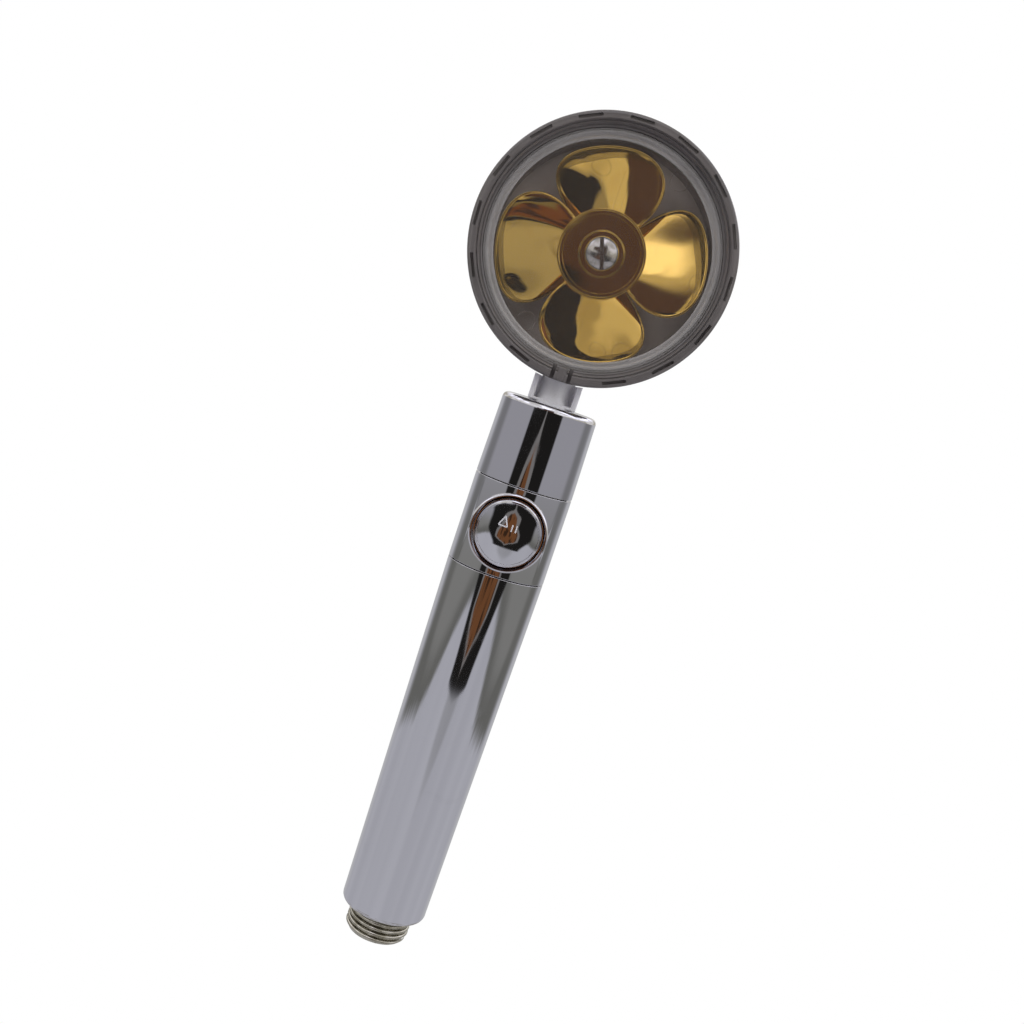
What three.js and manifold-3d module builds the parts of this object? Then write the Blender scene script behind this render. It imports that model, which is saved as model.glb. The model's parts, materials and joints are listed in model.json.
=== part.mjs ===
// A handheld shower head: a plated tubular handle with a stop button, a swivel neck, and a smoky
// drum-shaped head in which the water spins a four-bladed impeller behind a clear window.
// Millimetres. +Z runs up the handle's axis from the centre of the hose thread's end face, and the
// window and the stop button face -Y.
import * as THREE from "three";
import { mergeVertices } from "three/addons/utils/BufferGeometryUtils.js";
import Module from "manifold-3d";

const wasm = await Module();
wasm.setup();

// ---------------------------------------------------------------- driving dimensions
const GAP = 0.3; // between two pieces that touch
const WELD = 1e-4;

const THREAD_RADIUS = 10.4775; // G1/2 parallel pipe thread
const THREAD_ROOT = 9.3145;
const THREAD_PITCH = 1.814;
const INLET_RADIUS = 7.6;

// Heights of the handle's joints, from the thread's end.
const GRIP_BOTTOM = 9.1;
const GRIP_TOP = 127.8;
const COLLAR_TOP = 155.8;
const SLEEVE_TOP = 181.9;
// Outside radii at those heights.
const GRIP_BOTTOM_RADIUS = 14.05;
const GRIP_TOP_RADIUS = 15.6;
const COLLAR_RADIUS = 15.6;
const SLEEVE_TOP_RADIUS = 15.1;
const SEAM = 0.35; // open joint line between two plated shells
const EDGE_ROUND = 1.7;
const SHELL_BORE = 14.2; // inside radius of the collar and the sleeve
const SKIRT_RADIUS = 13.2; // the valve body's two threaded skirts
const CORE_RADIUS = 13.85; // the valve body between its skirts

const STEM_RADIUS = 7.3; // swivel neck, where it turns in the handle
const STEM_GROOVE_RADIUS = 5.9;
const STEM_SEAL_HEIGHTS = [159, 164];
const CLIP_HEIGHT = 171.1;
const NECK_BORE = 3.8;
const NECK_BLOCK = { width: 15.2, depth: 12, chamfer: 1.6 };

const HEAD_HEIGHT = 229.4; // centre of the head
const HEAD_RADIUS = 39.8; // over the two screwed rings
const BODY_RADIUS = 39.3;
const CHAMBER_RADIUS = 33.8;
const RING_THREAD_RADIUS = 37.4; // the body's two threaded lips
const BODY_HALF = 6; // half width of the body's outer band
const FRONT = { lip: 8.5, disc: 10.5, face: 14.3, mouth: 37 }; // distances in front of the middle
const REAR = { lip: 11, disc: 13, face: 14.6, mouth: 35.4 }; // and behind it
const DISC_RADIUS = 36.8;
const DISC_THICKNESS = 1.7;
const RING_LIP_RADIUS = 35.4;
const SOCKET_RADIUS = 5.7; // radial hole that takes the neck's spigot

const HUB_RADIUS = 13.4;
const HUB_FRONT = -4.6;
const HUB_BACK = 6;
const BLADES = 4;
const BLADE_TIP_RADIUS = 32;
const BLADE_ROOT_RADIUS = 14;
const BLADE_HALF_ANGLE = 43.75; // degrees
const BLADE_CENTRE_ANGLE = 9.65; // degrees from +X towards +Z
const BLADE_PITCH = 42; // advance in one turn
const BLADE_THICKNESS = 1.3;
const BLADE_MIDDLE = 0.8; // the blades' middle along Y
const AXLE_RADIUS = 2.6;

const BUTTON_HEIGHT = 141.8;
const BOSS_RADIUS = 12.3;
const BOSS_FACE = -17;
const BOSS_BORE = 10.65;
const BOSS_COUNTERBORE = 11.25; // behind the lip that keeps the cap in
const LIP_DEPTH = -13.5;
const CAP_RADIUS = 10.3;
const CAP_FACE = -18.1;
const BUTTON_TRAVEL = 3.5;
const CROSS_BORE = 6.6;
const POCKET_FLOOR = -8.8; // flat in the valve body that the button's spring stands on
const PORT_RADIUS = 1.75;
const PORT_OFFSET = -0.5;

const SIDES = { head: 40, handle: 28, small: 16 };

// ---------------------------------------------------------------- materials
const finish = (color, roughness, metalness, opacity = 1) =>
  new THREE.MeshStandardMaterial({
    color,
    roughness,
    metalness,
    opacity,
    transparent: opacity < 1,
  });
const chrome = finish(0xc4c4cc, 0.06, 1);
const gold = finish(0xc79a3c, 0.1, 1);
const nickel = finish(0x8c8878, 0.35, 1);
const steel = finish(0xb8b8ba, 0.2, 1);
const smoke = finish(0x4a4545, 0.12, 0, 0.6);
const clear = finish(0xb9b6b4, 0.05, 0, 0.25);
const frost = finish(0xc9c9d0, 0.3, 0, 0.8);
const whiteResin = finish(0xe6e4de, 0.5, 0);
const greyResin = finish(0x6f6f72, 0.45, 0);
const rubber = finish(0x1c1c1e, 0.8, 0);
const felt = finish(0xeeece6, 0.95, 0);

// ---------------------------------------------------------------- shape helpers
// A closed geometry as a manifold-3d solid, turned right side out.
function solidOf(geometry) {
  const bare = geometry.clone();
  bare.deleteAttribute("normal");
  bare.deleteAttribute("uv");
  const merged = mergeVertices(bare, WELD);
  const corners = merged.index.array;
  const kept = [];
  for (let i = 0; i < corners.length; i += 3) {
    const [a, b, c] = corners.slice(i, i + 3);
    if (a !== b && b !== c && c !== a) kept.push([a, b, c]);
  }
  const make = (faces) =>
    new wasm.Manifold(
      new wasm.Mesh({
        numProp: 3,
        vertProperties: merged.attributes.position.array,
        triVerts: new Uint32Array(faces.flat()),
      }),
    );
  const solid = make(kept);
  return solid.volume() > 0 ? solid : make(kept.map(([a, b, c]) => [a, c, b]));
}

function geometryOf(solid) {
  const mesh = solid.getMesh();
  const geometry = new THREE.BufferGeometry();
  geometry.setAttribute("position", new THREE.BufferAttribute(mesh.vertProperties, 3));
  geometry.setIndex(new THREE.BufferAttribute(mesh.triVerts, 1));
  geometry.computeVertexNormals();
  return geometry;
}

const join = (first, ...others) =>
  geometryOf(others.reduce((made, other) => made.add(solidOf(other)), solidOf(first)));

const cut = (first, ...tools) =>
  geometryOf(tools.reduce((made, tool) => made.subtract(solidOf(tool)), solidOf(first)));

const keep = (first, other) => geometryOf(solidOf(first).intersect(solidOf(other)));

// A body of revolution about +Y, from [radius, height] points in order round its section.
function turnedY(points, sides) {
  const outline = points.map(([r, h]) => new THREE.Vector2(r, h));
  if (outline[0].x > 0) outline.push(outline[0].clone());
  return geometryOf(solidOf(new THREE.LatheGeometry(outline, sides)));
}

// The same about +Z.
const turnedZ = (points, sides) => turnedY(points, sides).rotateX(Math.PI / 2);

// The points of a rounded corner, from one angle to another in degrees.
function corner(r, h, radius, from, to, steps = 4) {
  return Array.from({ length: steps + 1 }, (_, i) => {
    const angle = THREE.MathUtils.degToRad(from + ((to - from) * i) / steps);
    return [r + radius * Math.cos(angle), h + radius * Math.sin(angle)];
  });
}

const rodY = (radius, from, to, sides = SIDES.small) =>
  new THREE.CylinderGeometry(radius, radius, to - from, sides).translate(0, (from + to) / 2, 0);

const rodZ = (radius, from, to, sides = SIDES.small) =>
  rodY(radius, from, to, sides).rotateX(Math.PI / 2);

const block = (x, y, z) =>
  new THREE.BoxGeometry(x[1] - x[0], y[1] - y[0], z[1] - z[0]).translate(
    (x[0] + x[1]) / 2,
    (y[0] + y[1]) / 2,
    (z[0] + z[1]) / 2,
  );

const ringSection = (inner, outer, from, to) => [
  [inner, from],
  [outer, from],
  [outer, to],
  [inner, to],
];

// An O-ring round +Z at a height, or round +Y.
const sealZ = (radius, section, height) =>
  new THREE.TorusGeometry(radius, section, 6, SIDES.small).translate(0, 0, height);
const sealY = (radius, section, height, sides = SIDES.small) =>
  new THREE.TorusGeometry(radius, section, 6, sides).rotateX(Math.PI / 2).translate(0, height, 0);

function place(group, name, geometry, material) {
  const mesh = new THREE.Mesh(geometry, material);
  mesh.name = name;
  group.add(mesh);
}

// ---------------------------------------------------------------- hose end and grip
// The ridges of the pipe thread as a stack of rings, from the end face up to the grip.
function threadRidges() {
  const points = [];
  const count = Math.floor((GRIP_BOTTOM - 1) / THREAD_PITCH);
  for (let i = 0; i < count; i += 1) {
    const foot = 0.8 + i * THREAD_PITCH;
    points.push([THREAD_ROOT, foot]);
    points.push([THREAD_RADIUS, foot + THREAD_PITCH * 0.4]);
    points.push([THREAD_RADIUS, foot + THREAD_PITCH * 0.55]);
  }
  points.push([THREAD_ROOT, 0.8 + count * THREAD_PITCH]);
  return points;
}

function hoseEnd() {
  const group = new THREE.Group();
  const flange = 11.65;
  const grooveFloor = 10.2;
  place(
    group,
    "hose_fitting",
    turnedZ(
      [
        [INLET_RADIUS, 0],
        [THREAD_ROOT, 0],
        ...threadRidges(),
        [THREAD_RADIUS, 11.5],
        [THREAD_RADIUS, 12.9],
        [flange, 12.9],
        [flange, 18.6],
        [grooveFloor, 18.6],
        [grooveFloor, 21.2],
        [flange, 21.2],
        [flange, 26],
        [8.6, 26],
        [8.6, 14],
        [INLET_RADIUS, 13],
      ],
      SIDES.handle,
    ),
    nickel,
  );
  place(group, "fitting_seal", sealZ(11.05, 0.6, 19.9), rubber);
  const mesh = [0, 1, 2, 3, 4, 5].map((i) => {
    const angle = (i * Math.PI) / 3;
    return rodZ(1.3, 9, 16, 8).translate(4 * Math.cos(angle), 4 * Math.sin(angle), 0);
  });
  place(
    group,
    "inlet_strainer",
    cut(
      turnedZ(
        [
          [0, 10.4],
          [7.2, 10.4],
          [7.2, 14.2],
          [8.2, 15.2],
          [8.2, 16.4],
          [6.4, 16.4],
          [6.4, 11.4],
          [0, 11.4],
        ],
        SIDES.small,
      ),
      rodZ(1.3, 9, 16, 8),
      ...mesh,
    ),
    steel,
  );
  return group;
}

function grip() {
  const group = new THREE.Group();
  place(
    group,
    "grip_tube",
    turnedZ(
      [
        [THREAD_RADIUS + 0.4, GRIP_BOTTOM],
        ...corner(GRIP_BOTTOM_RADIUS - EDGE_ROUND, GRIP_BOTTOM + EDGE_ROUND, EDGE_ROUND, -90, 0),
        [GRIP_TOP_RADIUS, GRIP_TOP - SEAM / 2],
        [13.6, GRIP_TOP - SEAM / 2],
        [13.6, 112.8],
        [11.8, 112.8],
        [11.8, 12.5],
        [THREAD_RADIUS + 0.4, 12.5],
      ],
      SIDES.handle,
    ),
    chrome,
  );
  // Water comes up outside the cartridge, through its felt, and leaves by the hole in its upper cap.
  place(
    group,
    "filter_lower_cap",
    turnedZ(
      [
        [0, 28],
        [9, 28],
        [11.1, 30],
        [11.1, 34],
        [10.6, 34],
        [10.6, 31.2],
        [3.8, 31.2],
        [3.8, 36],
        [0, 36],
      ],
      SIDES.small,
    ),
    whiteResin,
  );
  place(
    group,
    "filter_cartridge",
    turnedZ(ringSection(4.2, 10.2, 31.6, 99.6), SIDES.small),
    felt,
  );
  place(
    group,
    "filter_upper_cap",
    turnedZ(
      [
        [2.6, 95],
        [3.8, 95],
        [3.8, 100],
        [10.6, 100],
        [10.6, 97.2],
        [11.1, 97.2],
        [11.1, 102],
        [5.6, 103],
        [4.4, 125.5],
        [2.6, 125.5],
      ],
      SIDES.small,
    ),
    whiteResin,
  );
  return group;
}

// ---------------------------------------------------------------- stop valve
function valveBody() {
  const core = turnedZ(
    [
      [10.4, 115.3],
      [SKIRT_RADIUS, 115.3],
      [SKIRT_RADIUS, GRIP_TOP + 0.4],
      [CORE_RADIUS, GRIP_TOP + 0.4],
      [CORE_RADIUS, COLLAR_TOP - 0.4],
      [SKIRT_RADIUS, COLLAR_TOP - 0.4],
      [SKIRT_RADIUS, 168.9],
      [STEM_RADIUS + 0.5, 168.9],
      [STEM_RADIUS + 0.5, 152.9],
      [0, 152.9],
      [0, 129.3],
      [4.9, 129.3],
      [4.9, 121.8],
      [10.4, 121.8],
    ],
    SIDES.handle,
  );
  const atButton = (geometry) => geometry.translate(0, 0, BUTTON_HEIGHT);
  return cut(
    core,
    rodZ(PORT_RADIUS, 124, BUTTON_HEIGHT, 16).translate(0, PORT_OFFSET, 0),
    rodZ(PORT_RADIUS, BUTTON_HEIGHT, 156, 16).translate(0, PORT_OFFSET, 0),
    atButton(rodY(CROSS_BORE, -20, 20)),
    atButton(rodY(11.2, -20, POCKET_FLOOR, 32)),
  );
}

function stopValve() {
  const group = new THREE.Group();
  place(group, "valve_body", valveBody(), whiteResin);
  place(group, "grip_seal", sealZ(12.5, 0.65, 113.8), rubber);

  const shell = turnedZ(
    ringSection(SHELL_BORE, COLLAR_RADIUS, GRIP_TOP + SEAM / 2, COLLAR_TOP - SEAM / 2),
    SIDES.handle,
  );
  const boss = turnedY(
    [
      [0, BOSS_FACE],
      ...corner(BOSS_RADIUS - 0.5, BOSS_FACE + 0.5, 0.5, -90, 0, 2),
      [BOSS_RADIUS, -8],
      [0, -8],
    ],
    SIDES.handle,
  ).translate(0, 0, BUTTON_HEIGHT);
  const inside = rodZ(SHELL_BORE, GRIP_TOP, COLLAR_TOP, SIDES.handle);
  const bore = (radius, from) =>
    rodY(radius, from, 0, SIDES.handle).translate(0, 0, BUTTON_HEIGHT);
  place(
    group,
    "button_collar",
    cut(join(shell, cut(boss, inside)), bore(BOSS_BORE, -20), bore(BOSS_COUNTERBORE, LIP_DEPTH)),
    chrome,
  );

  place(
    group,
    "cross_bore_plug",
    rodY(CROSS_BORE - GAP, 9.4, 12.2).translate(0, 0, BUTTON_HEIGHT),
    whiteResin,
  );
  return group;
}

// The pieces that the thumb pushes in.
function stopButton() {
  const group = new THREE.Group();
  group.position.z = BUTTON_HEIGHT;
  const dish = 0.9; // how far the cap's face sinks to its middle
  place(
    group,
    "button_cap",
    turnedY(
      [
        [0, CAP_FACE + dish],
        [4.5, CAP_FACE + dish * 0.78],
        [8.6, CAP_FACE + 0.1],
        ...corner(CAP_RADIUS - 0.7, CAP_FACE + 0.7, 0.7, -90, 0, 3),
        [CAP_RADIUS, -13.2],
        [CAP_RADIUS + 0.65, -13.2],
        [CAP_RADIUS + 0.65, -12.6],
        [9.1, -12.6],
        [9.1, -16],
        [4.6, -16],
        [4.6, -12.6],
        [2.8, -12.6],
        [2.8, -16.3],
        [0, -16.3],
      ],
      32,
    ),
    chrome,
  );
  const land = CROSS_BORE - 0.35;
  const floor = 4.5; // of the seal grooves
  place(
    group,
    "valve_spool",
    turnedY(
      [
        [0, -16],
        [2.5, -16],
        [2.5, -8.6],
        [land, -8.6],
        [land, -7.9],
        [floor, -7.9],
        [floor, -6],
        [land, -6],
        [land, PORT_OFFSET - PORT_RADIUS],
        [3, PORT_OFFSET - PORT_RADIUS],
        [3, 2],
        [land, 2],
        [land, 2.7],
        [floor, 2.7],
        [floor, 4.7],
        [land, 4.7],
        [land, 5.4],
        [0, 5.4],
      ],
      SIDES.small,
    ),
    greyResin,
  );
  [-6.95, 3.7].forEach((height, i) =>
    place(group, `spool_seal_${i + 1}`, sealY(5.55, 0.75, height, 20), rubber),
  );
  return group;
}

// The coil between the cap and the valve body.
function buttonSpring() {
  const turns = 3.5;
  const [from, to] = [-15.5, POCKET_FLOOR - 0.9];
  const coil = new THREE.Curve();
  coil.getPoint = (t, target = new THREE.Vector3()) => {
    const angle = t * turns * 2 * Math.PI;
    return target.set(7.4 * Math.cos(angle), from + (to - from) * t, 7.4 * Math.sin(angle));
  };
  const wire = new THREE.Shape().absarc(0, 0, 0.42, 0, 2 * Math.PI);
  return new THREE.ExtrudeGeometry(wire, {
    steps: Math.round(turns * 12),
    curveSegments: 3,
    extrudePath: coil,
  }).translate(0, 0, BUTTON_HEIGHT);
}

// ---------------------------------------------------------------- swivel
function swivelHousing() {
  const group = new THREE.Group();
  const base = COLLAR_TOP + SEAM / 2;
  place(
    group,
    "top_sleeve",
    turnedZ(
      [
        [SHELL_BORE, base],
        [COLLAR_RADIUS, base],
        ...corner(SLEEVE_TOP_RADIUS - EDGE_ROUND, SLEEVE_TOP - EDGE_ROUND, EDGE_ROUND, 0, 90),
        [STEM_RADIUS + 0.4, SLEEVE_TOP],
        [STEM_RADIUS + 0.4, SLEEVE_TOP - 2.2],
        [13.4, SLEEVE_TOP - 2.2],
        [13.6, 170.9],
      ],
      SIDES.handle,
    ),
    chrome,
  );
  place(group, "sleeve_seal", sealZ(12, 0.7, 169.9), rubber);
  place(
    group,
    "swivel_bush",
    turnedZ(
      [
        [9.7, 170.9],
        [13, 170.9],
        [13, SLEEVE_TOP - 2.6],
        [STEM_RADIUS + 0.14, SLEEVE_TOP - 2.6],
        [STEM_RADIUS + 0.14, 173.3],
        [9.7, 173.3],
      ],
      SIDES.handle,
    ),
    whiteResin,
  );
  return group;
}

function swivelNeck() {
  const { width, depth, chamfer } = NECK_BLOCK;
  const [x, y] = [width / 2, depth / 2];
  const section = new THREE.Shape(
    [
      [x, y - chamfer],
      [x - chamfer, y],
      [chamfer - x, y],
      [-x, y - chamfer],
      [-x, chamfer - y],
      [chamfer - x, -y],
      [x - chamfer, -y],
      [x, chamfer - y],
    ].map(([a, b]) => new THREE.Vector2(a, b)),
  );
  const upper = cut(
    new THREE.ExtrudeGeometry(section, { depth: 12, bevelEnabled: false }).translate(
      0,
      0,
      SLEEVE_TOP + 0.3,
    ),
    rodY(HEAD_RADIUS + 0.4, -20, 20, 96).translate(0, 0, HEAD_HEIGHT),
  );
  const spigotTop = 193.1;
  const grooves = STEM_SEAL_HEIGHTS.flatMap((height) => [
    [STEM_RADIUS, height - 1.1],
    [STEM_GROOVE_RADIUS, height - 1.1],
    [STEM_GROOVE_RADIUS, height + 1.1],
    [STEM_RADIUS, height + 1.1],
  ]);
  const stem = turnedZ(
    [
      [0, 154.4],
      [STEM_RADIUS, 154.4],
      ...grooves,
      [STEM_RADIUS, CLIP_HEIGHT - 0.8],
      [STEM_GROOVE_RADIUS + 0.3, CLIP_HEIGHT - 0.8],
      [STEM_GROOVE_RADIUS + 0.3, CLIP_HEIGHT + 0.8],
      [STEM_RADIUS, CLIP_HEIGHT + 0.8],
      [STEM_RADIUS, SLEEVE_TOP + 0.6],
      [SOCKET_RADIUS - 0.35, SLEEVE_TOP + 0.6],
      [SOCKET_RADIUS - 0.35, spigotTop],
      [0, spigotTop],
    ],
    32,
  );
  return cut(join(stem, upper), rodZ(NECK_BORE, 140, 203));
}

function neckParts() {
  const group = new THREE.Group();
  place(group, "swivel_neck", swivelNeck(), frost);
  STEM_SEAL_HEIGHTS.forEach((height, i) =>
    place(group, `stem_seal_${i + 1}`, sealZ(6.85, 0.7, height), rubber),
  );
  const clip = turnedZ(ringSection(6.5, 9, CLIP_HEIGHT - 0.45, CLIP_HEIGHT + 0.45), SIDES.small);
  place(
    group,
    "retaining_clip",
    cut(clip, block([-1.4, 1.4], [0, 12], [CLIP_HEIGHT - 2, CLIP_HEIGHT + 2])),
    steel,
  );
  place(
    group,
    "swivel_washer",
    turnedZ(ringSection(STEM_RADIUS + 0.3, 9.2, 172.1, 172.8), SIDES.small),
    steel,
  );
  return group;
}

// ---------------------------------------------------------------- head
const SLOTS = 15; // one fewer than a full ring of them, because the neck takes the place of one
const SLOT_STEP = Math.PI / 8;
const FIRST_SLOT = (-66 * Math.PI) / 180; // from +X towards +Z

// A ring that screws onto one of the body's lips and holds a disc; side is -1 in front, 1 behind.
function screwRing(side, { disc, face, mouth }) {
  const section = [
    [mouth, face],
    ...corner(HEAD_RADIUS - 1.2, face - 1.2, 1.2, 90, 0, 3),
    [HEAD_RADIUS, BODY_HALF + 0.4],
    [RING_THREAD_RADIUS + 0.4, BODY_HALF + 0.4],
    [RING_THREAD_RADIUS + 0.4, disc + GAP],
    [RING_LIP_RADIUS, disc + GAP],
  ];
  return turnedY(
    section.map(([r, h]) => [r, h * side]),
    SIDES.head,
  );
}

// The grip slots round a ring's face.
function gripSlots(side, { face }) {
  const y = [side * (face - 1.3), side * (face + 1)].sort((a, b) => a - b);
  return Array.from({ length: SLOTS }, (_, i) => {
    const angle = -(FIRST_SLOT + i * SLOT_STEP);
    return block([37.7, 38.8], y, [-3.7, 3.7]).rotateY(angle);
  });
}

function bezelRing() {
  const depth = [-FRONT.face - 1, -FRONT.face + 1.6];
  const notch = (x) => block([x - 0.85, x + 0.85], depth, [-41, -36.3]);
  return cut(screwRing(-1, FRONT), ...gripSlots(-1, FRONT), notch(-2.6), notch(2.6));
}

function headBody() {
  const end = (side, { lip }) =>
    [
      [CHAMBER_RADIUS, lip],
      [34.9, lip],
      [34.9, lip - 1.2],
      [36.5, lip - 1.2],
      [36.5, lip],
      [RING_THREAD_RADIUS, lip],
      [RING_THREAD_RADIUS, BODY_HALF],
      [BODY_RADIUS, BODY_HALF],
    ].map(([r, h]) => [r, h * side]);
  const drum = turnedY([...end(-1, FRONT), ...end(1, REAR).reverse()], SIDES.head);
  return cut(drum, rodZ(SOCKET_RADIUS, -50, -30, SIDES.small));
}

// The window, with a raised rim that shows as bright rings inside the bezel.
function frontWindow() {
  const face = -FRONT.disc;
  return turnedY(
    [
      [0, face],
      [32.6, face],
      [32.9, face + 0.4],
      [33.3, face + 0.4],
      [33.6, face - 0.5],
      [34.8, face - 0.5],
      [35.1, face],
      [DISC_RADIUS, face],
      [DISC_RADIUS, face + DISC_THICKNESS],
      [0, face + DISC_THICKNESS],
    ],
    SIDES.head,
  );
}

const NOZZLE_RINGS = [
  [12, 8],
  [18, 12],
  [24, 16],
  [30, 20],
];

function sprayPlate() {
  const inner = REAR.disc - DISC_THICKNESS;
  const post = HUB_BACK + 1;
  const plate = turnedY(
    [
      [0, 12],
      [AXLE_RADIUS + 0.3, 12],
      [AXLE_RADIUS + 0.3, post],
      [5.5, post],
      [5.5, inner],
      [DISC_RADIUS, inner],
      [DISC_RADIUS, REAR.disc],
      [0, REAR.disc],
    ],
    SIDES.head,
  );
  const holes = NOZZLE_RINGS.flatMap(([radius, count]) =>
    Array.from({ length: count }, (_, i) => {
      const angle = (i * 2 * Math.PI) / count;
      const [x, z] = [radius * Math.cos(angle), radius * Math.sin(angle)];
      return rodY(0.6, 10, 14, 5).translate(x, 0, z);
    }),
  );
  return cut(plate, ...holes);
}

// One pass of the inlet water through two slots, which aim it at the blades.
function jetInsert() {
  const slot = (x) => block([x - 0.85, x + 0.85], [-3.6, 3.6], [191, 198]);
  return cut(rodZ(SOCKET_RADIUS - 0.3, 193.5, 195.2), slot(-2.6), slot(2.6));
}

function headShell() {
  const group = new THREE.Group();
  group.position.z = HEAD_HEIGHT;
  place(group, "head_body", headBody(), smoke);
  place(group, "bezel_ring", bezelRing(), smoke);
  place(group, "front_window", frontWindow(), clear);
  place(group, "window_seal", sealY(35.7, 0.5, -FRONT.lip + 0.5, SIDES.head), rubber);
  place(group, "spray_plate", sprayPlate(), greyResin);
  place(group, "plate_seal", sealY(35.7, 0.5, REAR.lip - 0.5, SIDES.head), rubber);
  place(group, "rear_ring", cut(screwRing(1, REAR), ...gripSlots(1, REAR)), smoke);
  const insert = jetInsert().translate(0, 0, -HEAD_HEIGHT);
  place(group, "jet_insert", insert, smoke);
  return group;
}

// ---------------------------------------------------------------- impeller and its axle
// Radius of a blade's edge; across runs from -1 at its leading edge to 1 at its trailing edge.
function bladeEdge(across) {
  const roundness = across < 0 ? 3.2 : 6;
  const share = (1 - Math.abs(across) ** roundness) ** 0.55;
  return BLADE_ROOT_RADIUS + (BLADE_TIP_RADIUS - BLADE_ROOT_RADIUS) * share;
}

// One blade: a patch of a screw surface, closed round its edge.
function blade(centreAngle) {
  const [columns, rows] = [14, 1];
  const inside = HUB_RADIUS - 0.8;
  const positions = [];
  for (const face of [-1, 1]) {
    for (let i = 0; i <= columns; i += 1) {
      const across = Math.sin((((2 * i) / columns - 1) * Math.PI) / 2);
      const swept = BLADE_HALF_ANGLE * across;
      const angle = THREE.MathUtils.degToRad(centreAngle + swept);
      const y = BLADE_MIDDLE + (BLADE_PITCH * swept) / 360 + (face * BLADE_THICKNESS) / 2;
      for (let j = 0; j <= rows; j += 1) {
        const radius = inside + ((bladeEdge(across) - inside) * j) / rows;
        positions.push(radius * Math.cos(angle), y, radius * Math.sin(angle));
      }
    }
  }
  const layer = (columns + 1) * (rows + 1);
  const at = (face, i, j) => face * layer + i * (rows + 1) + j;
  const faces = [];
  const quad = (a, b, c, d) => faces.push(a, b, c, a, c, d);
  for (let i = 0; i < columns; i += 1) {
    for (let j = 0; j < rows; j += 1) {
      quad(at(0, i, j), at(0, i + 1, j), at(0, i + 1, j + 1), at(0, i, j + 1));
      quad(at(1, i, j), at(1, i, j + 1), at(1, i + 1, j + 1), at(1, i + 1, j));
    }
    quad(at(0, i + 1, 0), at(0, i, 0), at(1, i, 0), at(1, i + 1, 0));
    quad(at(0, i, rows), at(0, i + 1, rows), at(1, i + 1, rows), at(1, i, rows));
  }
  for (let j = 0; j < rows; j += 1) {
    quad(at(0, 0, j), at(0, 0, j + 1), at(1, 0, j + 1), at(1, 0, j));
    quad(at(0, columns, j + 1), at(0, columns, j), at(1, columns, j), at(1, columns, j + 1));
  }
  const geometry = new THREE.BufferGeometry();
  geometry.setAttribute("position", new THREE.Float32BufferAttribute(positions, 3));
  geometry.setIndex(faces);
  return geometry;
}

function impeller() {
  const group = new THREE.Group();
  group.position.z = HEAD_HEIGHT;
  const bore = 4.05;
  const hub = turnedY(
    [
      [bore, HUB_FRONT],
      ...corner(HUB_RADIUS - 0.5, HUB_FRONT + 0.5, 0.5, -90, 0, 2),
      [HUB_RADIUS, HUB_BACK],
      [HUB_RADIUS - 1.4, HUB_BACK],
      [HUB_RADIUS - 1.4, HUB_FRONT + 1.6],
      [5.4, HUB_FRONT + 1.6],
      [5.4, HUB_BACK],
      [bore, HUB_BACK],
    ],
    32,
  );
  const blades = Array.from({ length: BLADES }, (_, i) =>
    blade(BLADE_CENTRE_ANGLE + (360 * i) / BLADES),
  );
  place(group, "impeller", join(hub, ...blades), gold);
  const sleeve = (from, to) => turnedY(ringSection(AXLE_RADIUS + 0.08, 3.8, from, to), 20);
  place(group, "front_bush", sleeve(HUB_FRONT + 0.2, HUB_FRONT + 4.7), whiteResin);
  place(group, "rear_bush", sleeve(HUB_BACK - 4.7, HUB_BACK - 0.2), whiteResin);
  return group;
}

function axleParts() {
  const group = new THREE.Group();
  group.position.z = HEAD_HEIGHT;
  const under = HUB_FRONT - 0.9; // underside of the screw's head
  const crown = under - 2.5;
  const screw = turnedY(
    [
      [0, crown],
      [2.4, crown + 0.35],
      [4.3, crown + 1.2],
      [5.1, crown + 2],
      [5.1, under],
      [AXLE_RADIUS, under],
      [AXLE_RADIUS, 11.6],
      [0, 11.6],
    ],
    SIDES.small,
  );
  const driverSlot = block([-0.85, 0.85], [crown - 1, crown + 1.3], [-6, 6]);
  place(group, "axle_screw", cut(screw, driverSlot), steel);
  const washer = (from, to) => turnedY(ringSection(AXLE_RADIUS + 0.3, 6, from, to), 20);
  place(group, "front_washer", washer(HUB_FRONT - 0.7, HUB_FRONT - 0.2), steel);
  place(group, "rear_washer", washer(HUB_BACK + 0.25, HUB_BACK + 0.75), steel);
  return group;
}

// ---------------------------------------------------------------- assembly
const shower = new THREE.Group();
shower.name = "handheld_shower";
shower.add(hoseEnd(), grip(), stopValve(), stopButton(), swivelHousing(), neckParts());
place(shower, "button_spring", buttonSpring(), steel);
shower.add(headShell(), impeller(), axleParts());

export default shower;
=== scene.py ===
"""Looks of a handheld shower head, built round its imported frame.

The handle is plated in three sections with a stop button, and a pale neck carries the smoky head,
in which a gold-plated impeller turns behind a clear window. Sizes in the classes are millimetres
along the handle's axis (+Z) and the head's axis (Y); meshes are in metres, in the frame's axes.
"""

import json
import logging
import math
from dataclasses import dataclass, field
from enum import Enum
from typing import Any, Iterable, Optional, Sequence, Union

import bmesh
import bpy
from mathutils import Matrix, Vector


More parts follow.
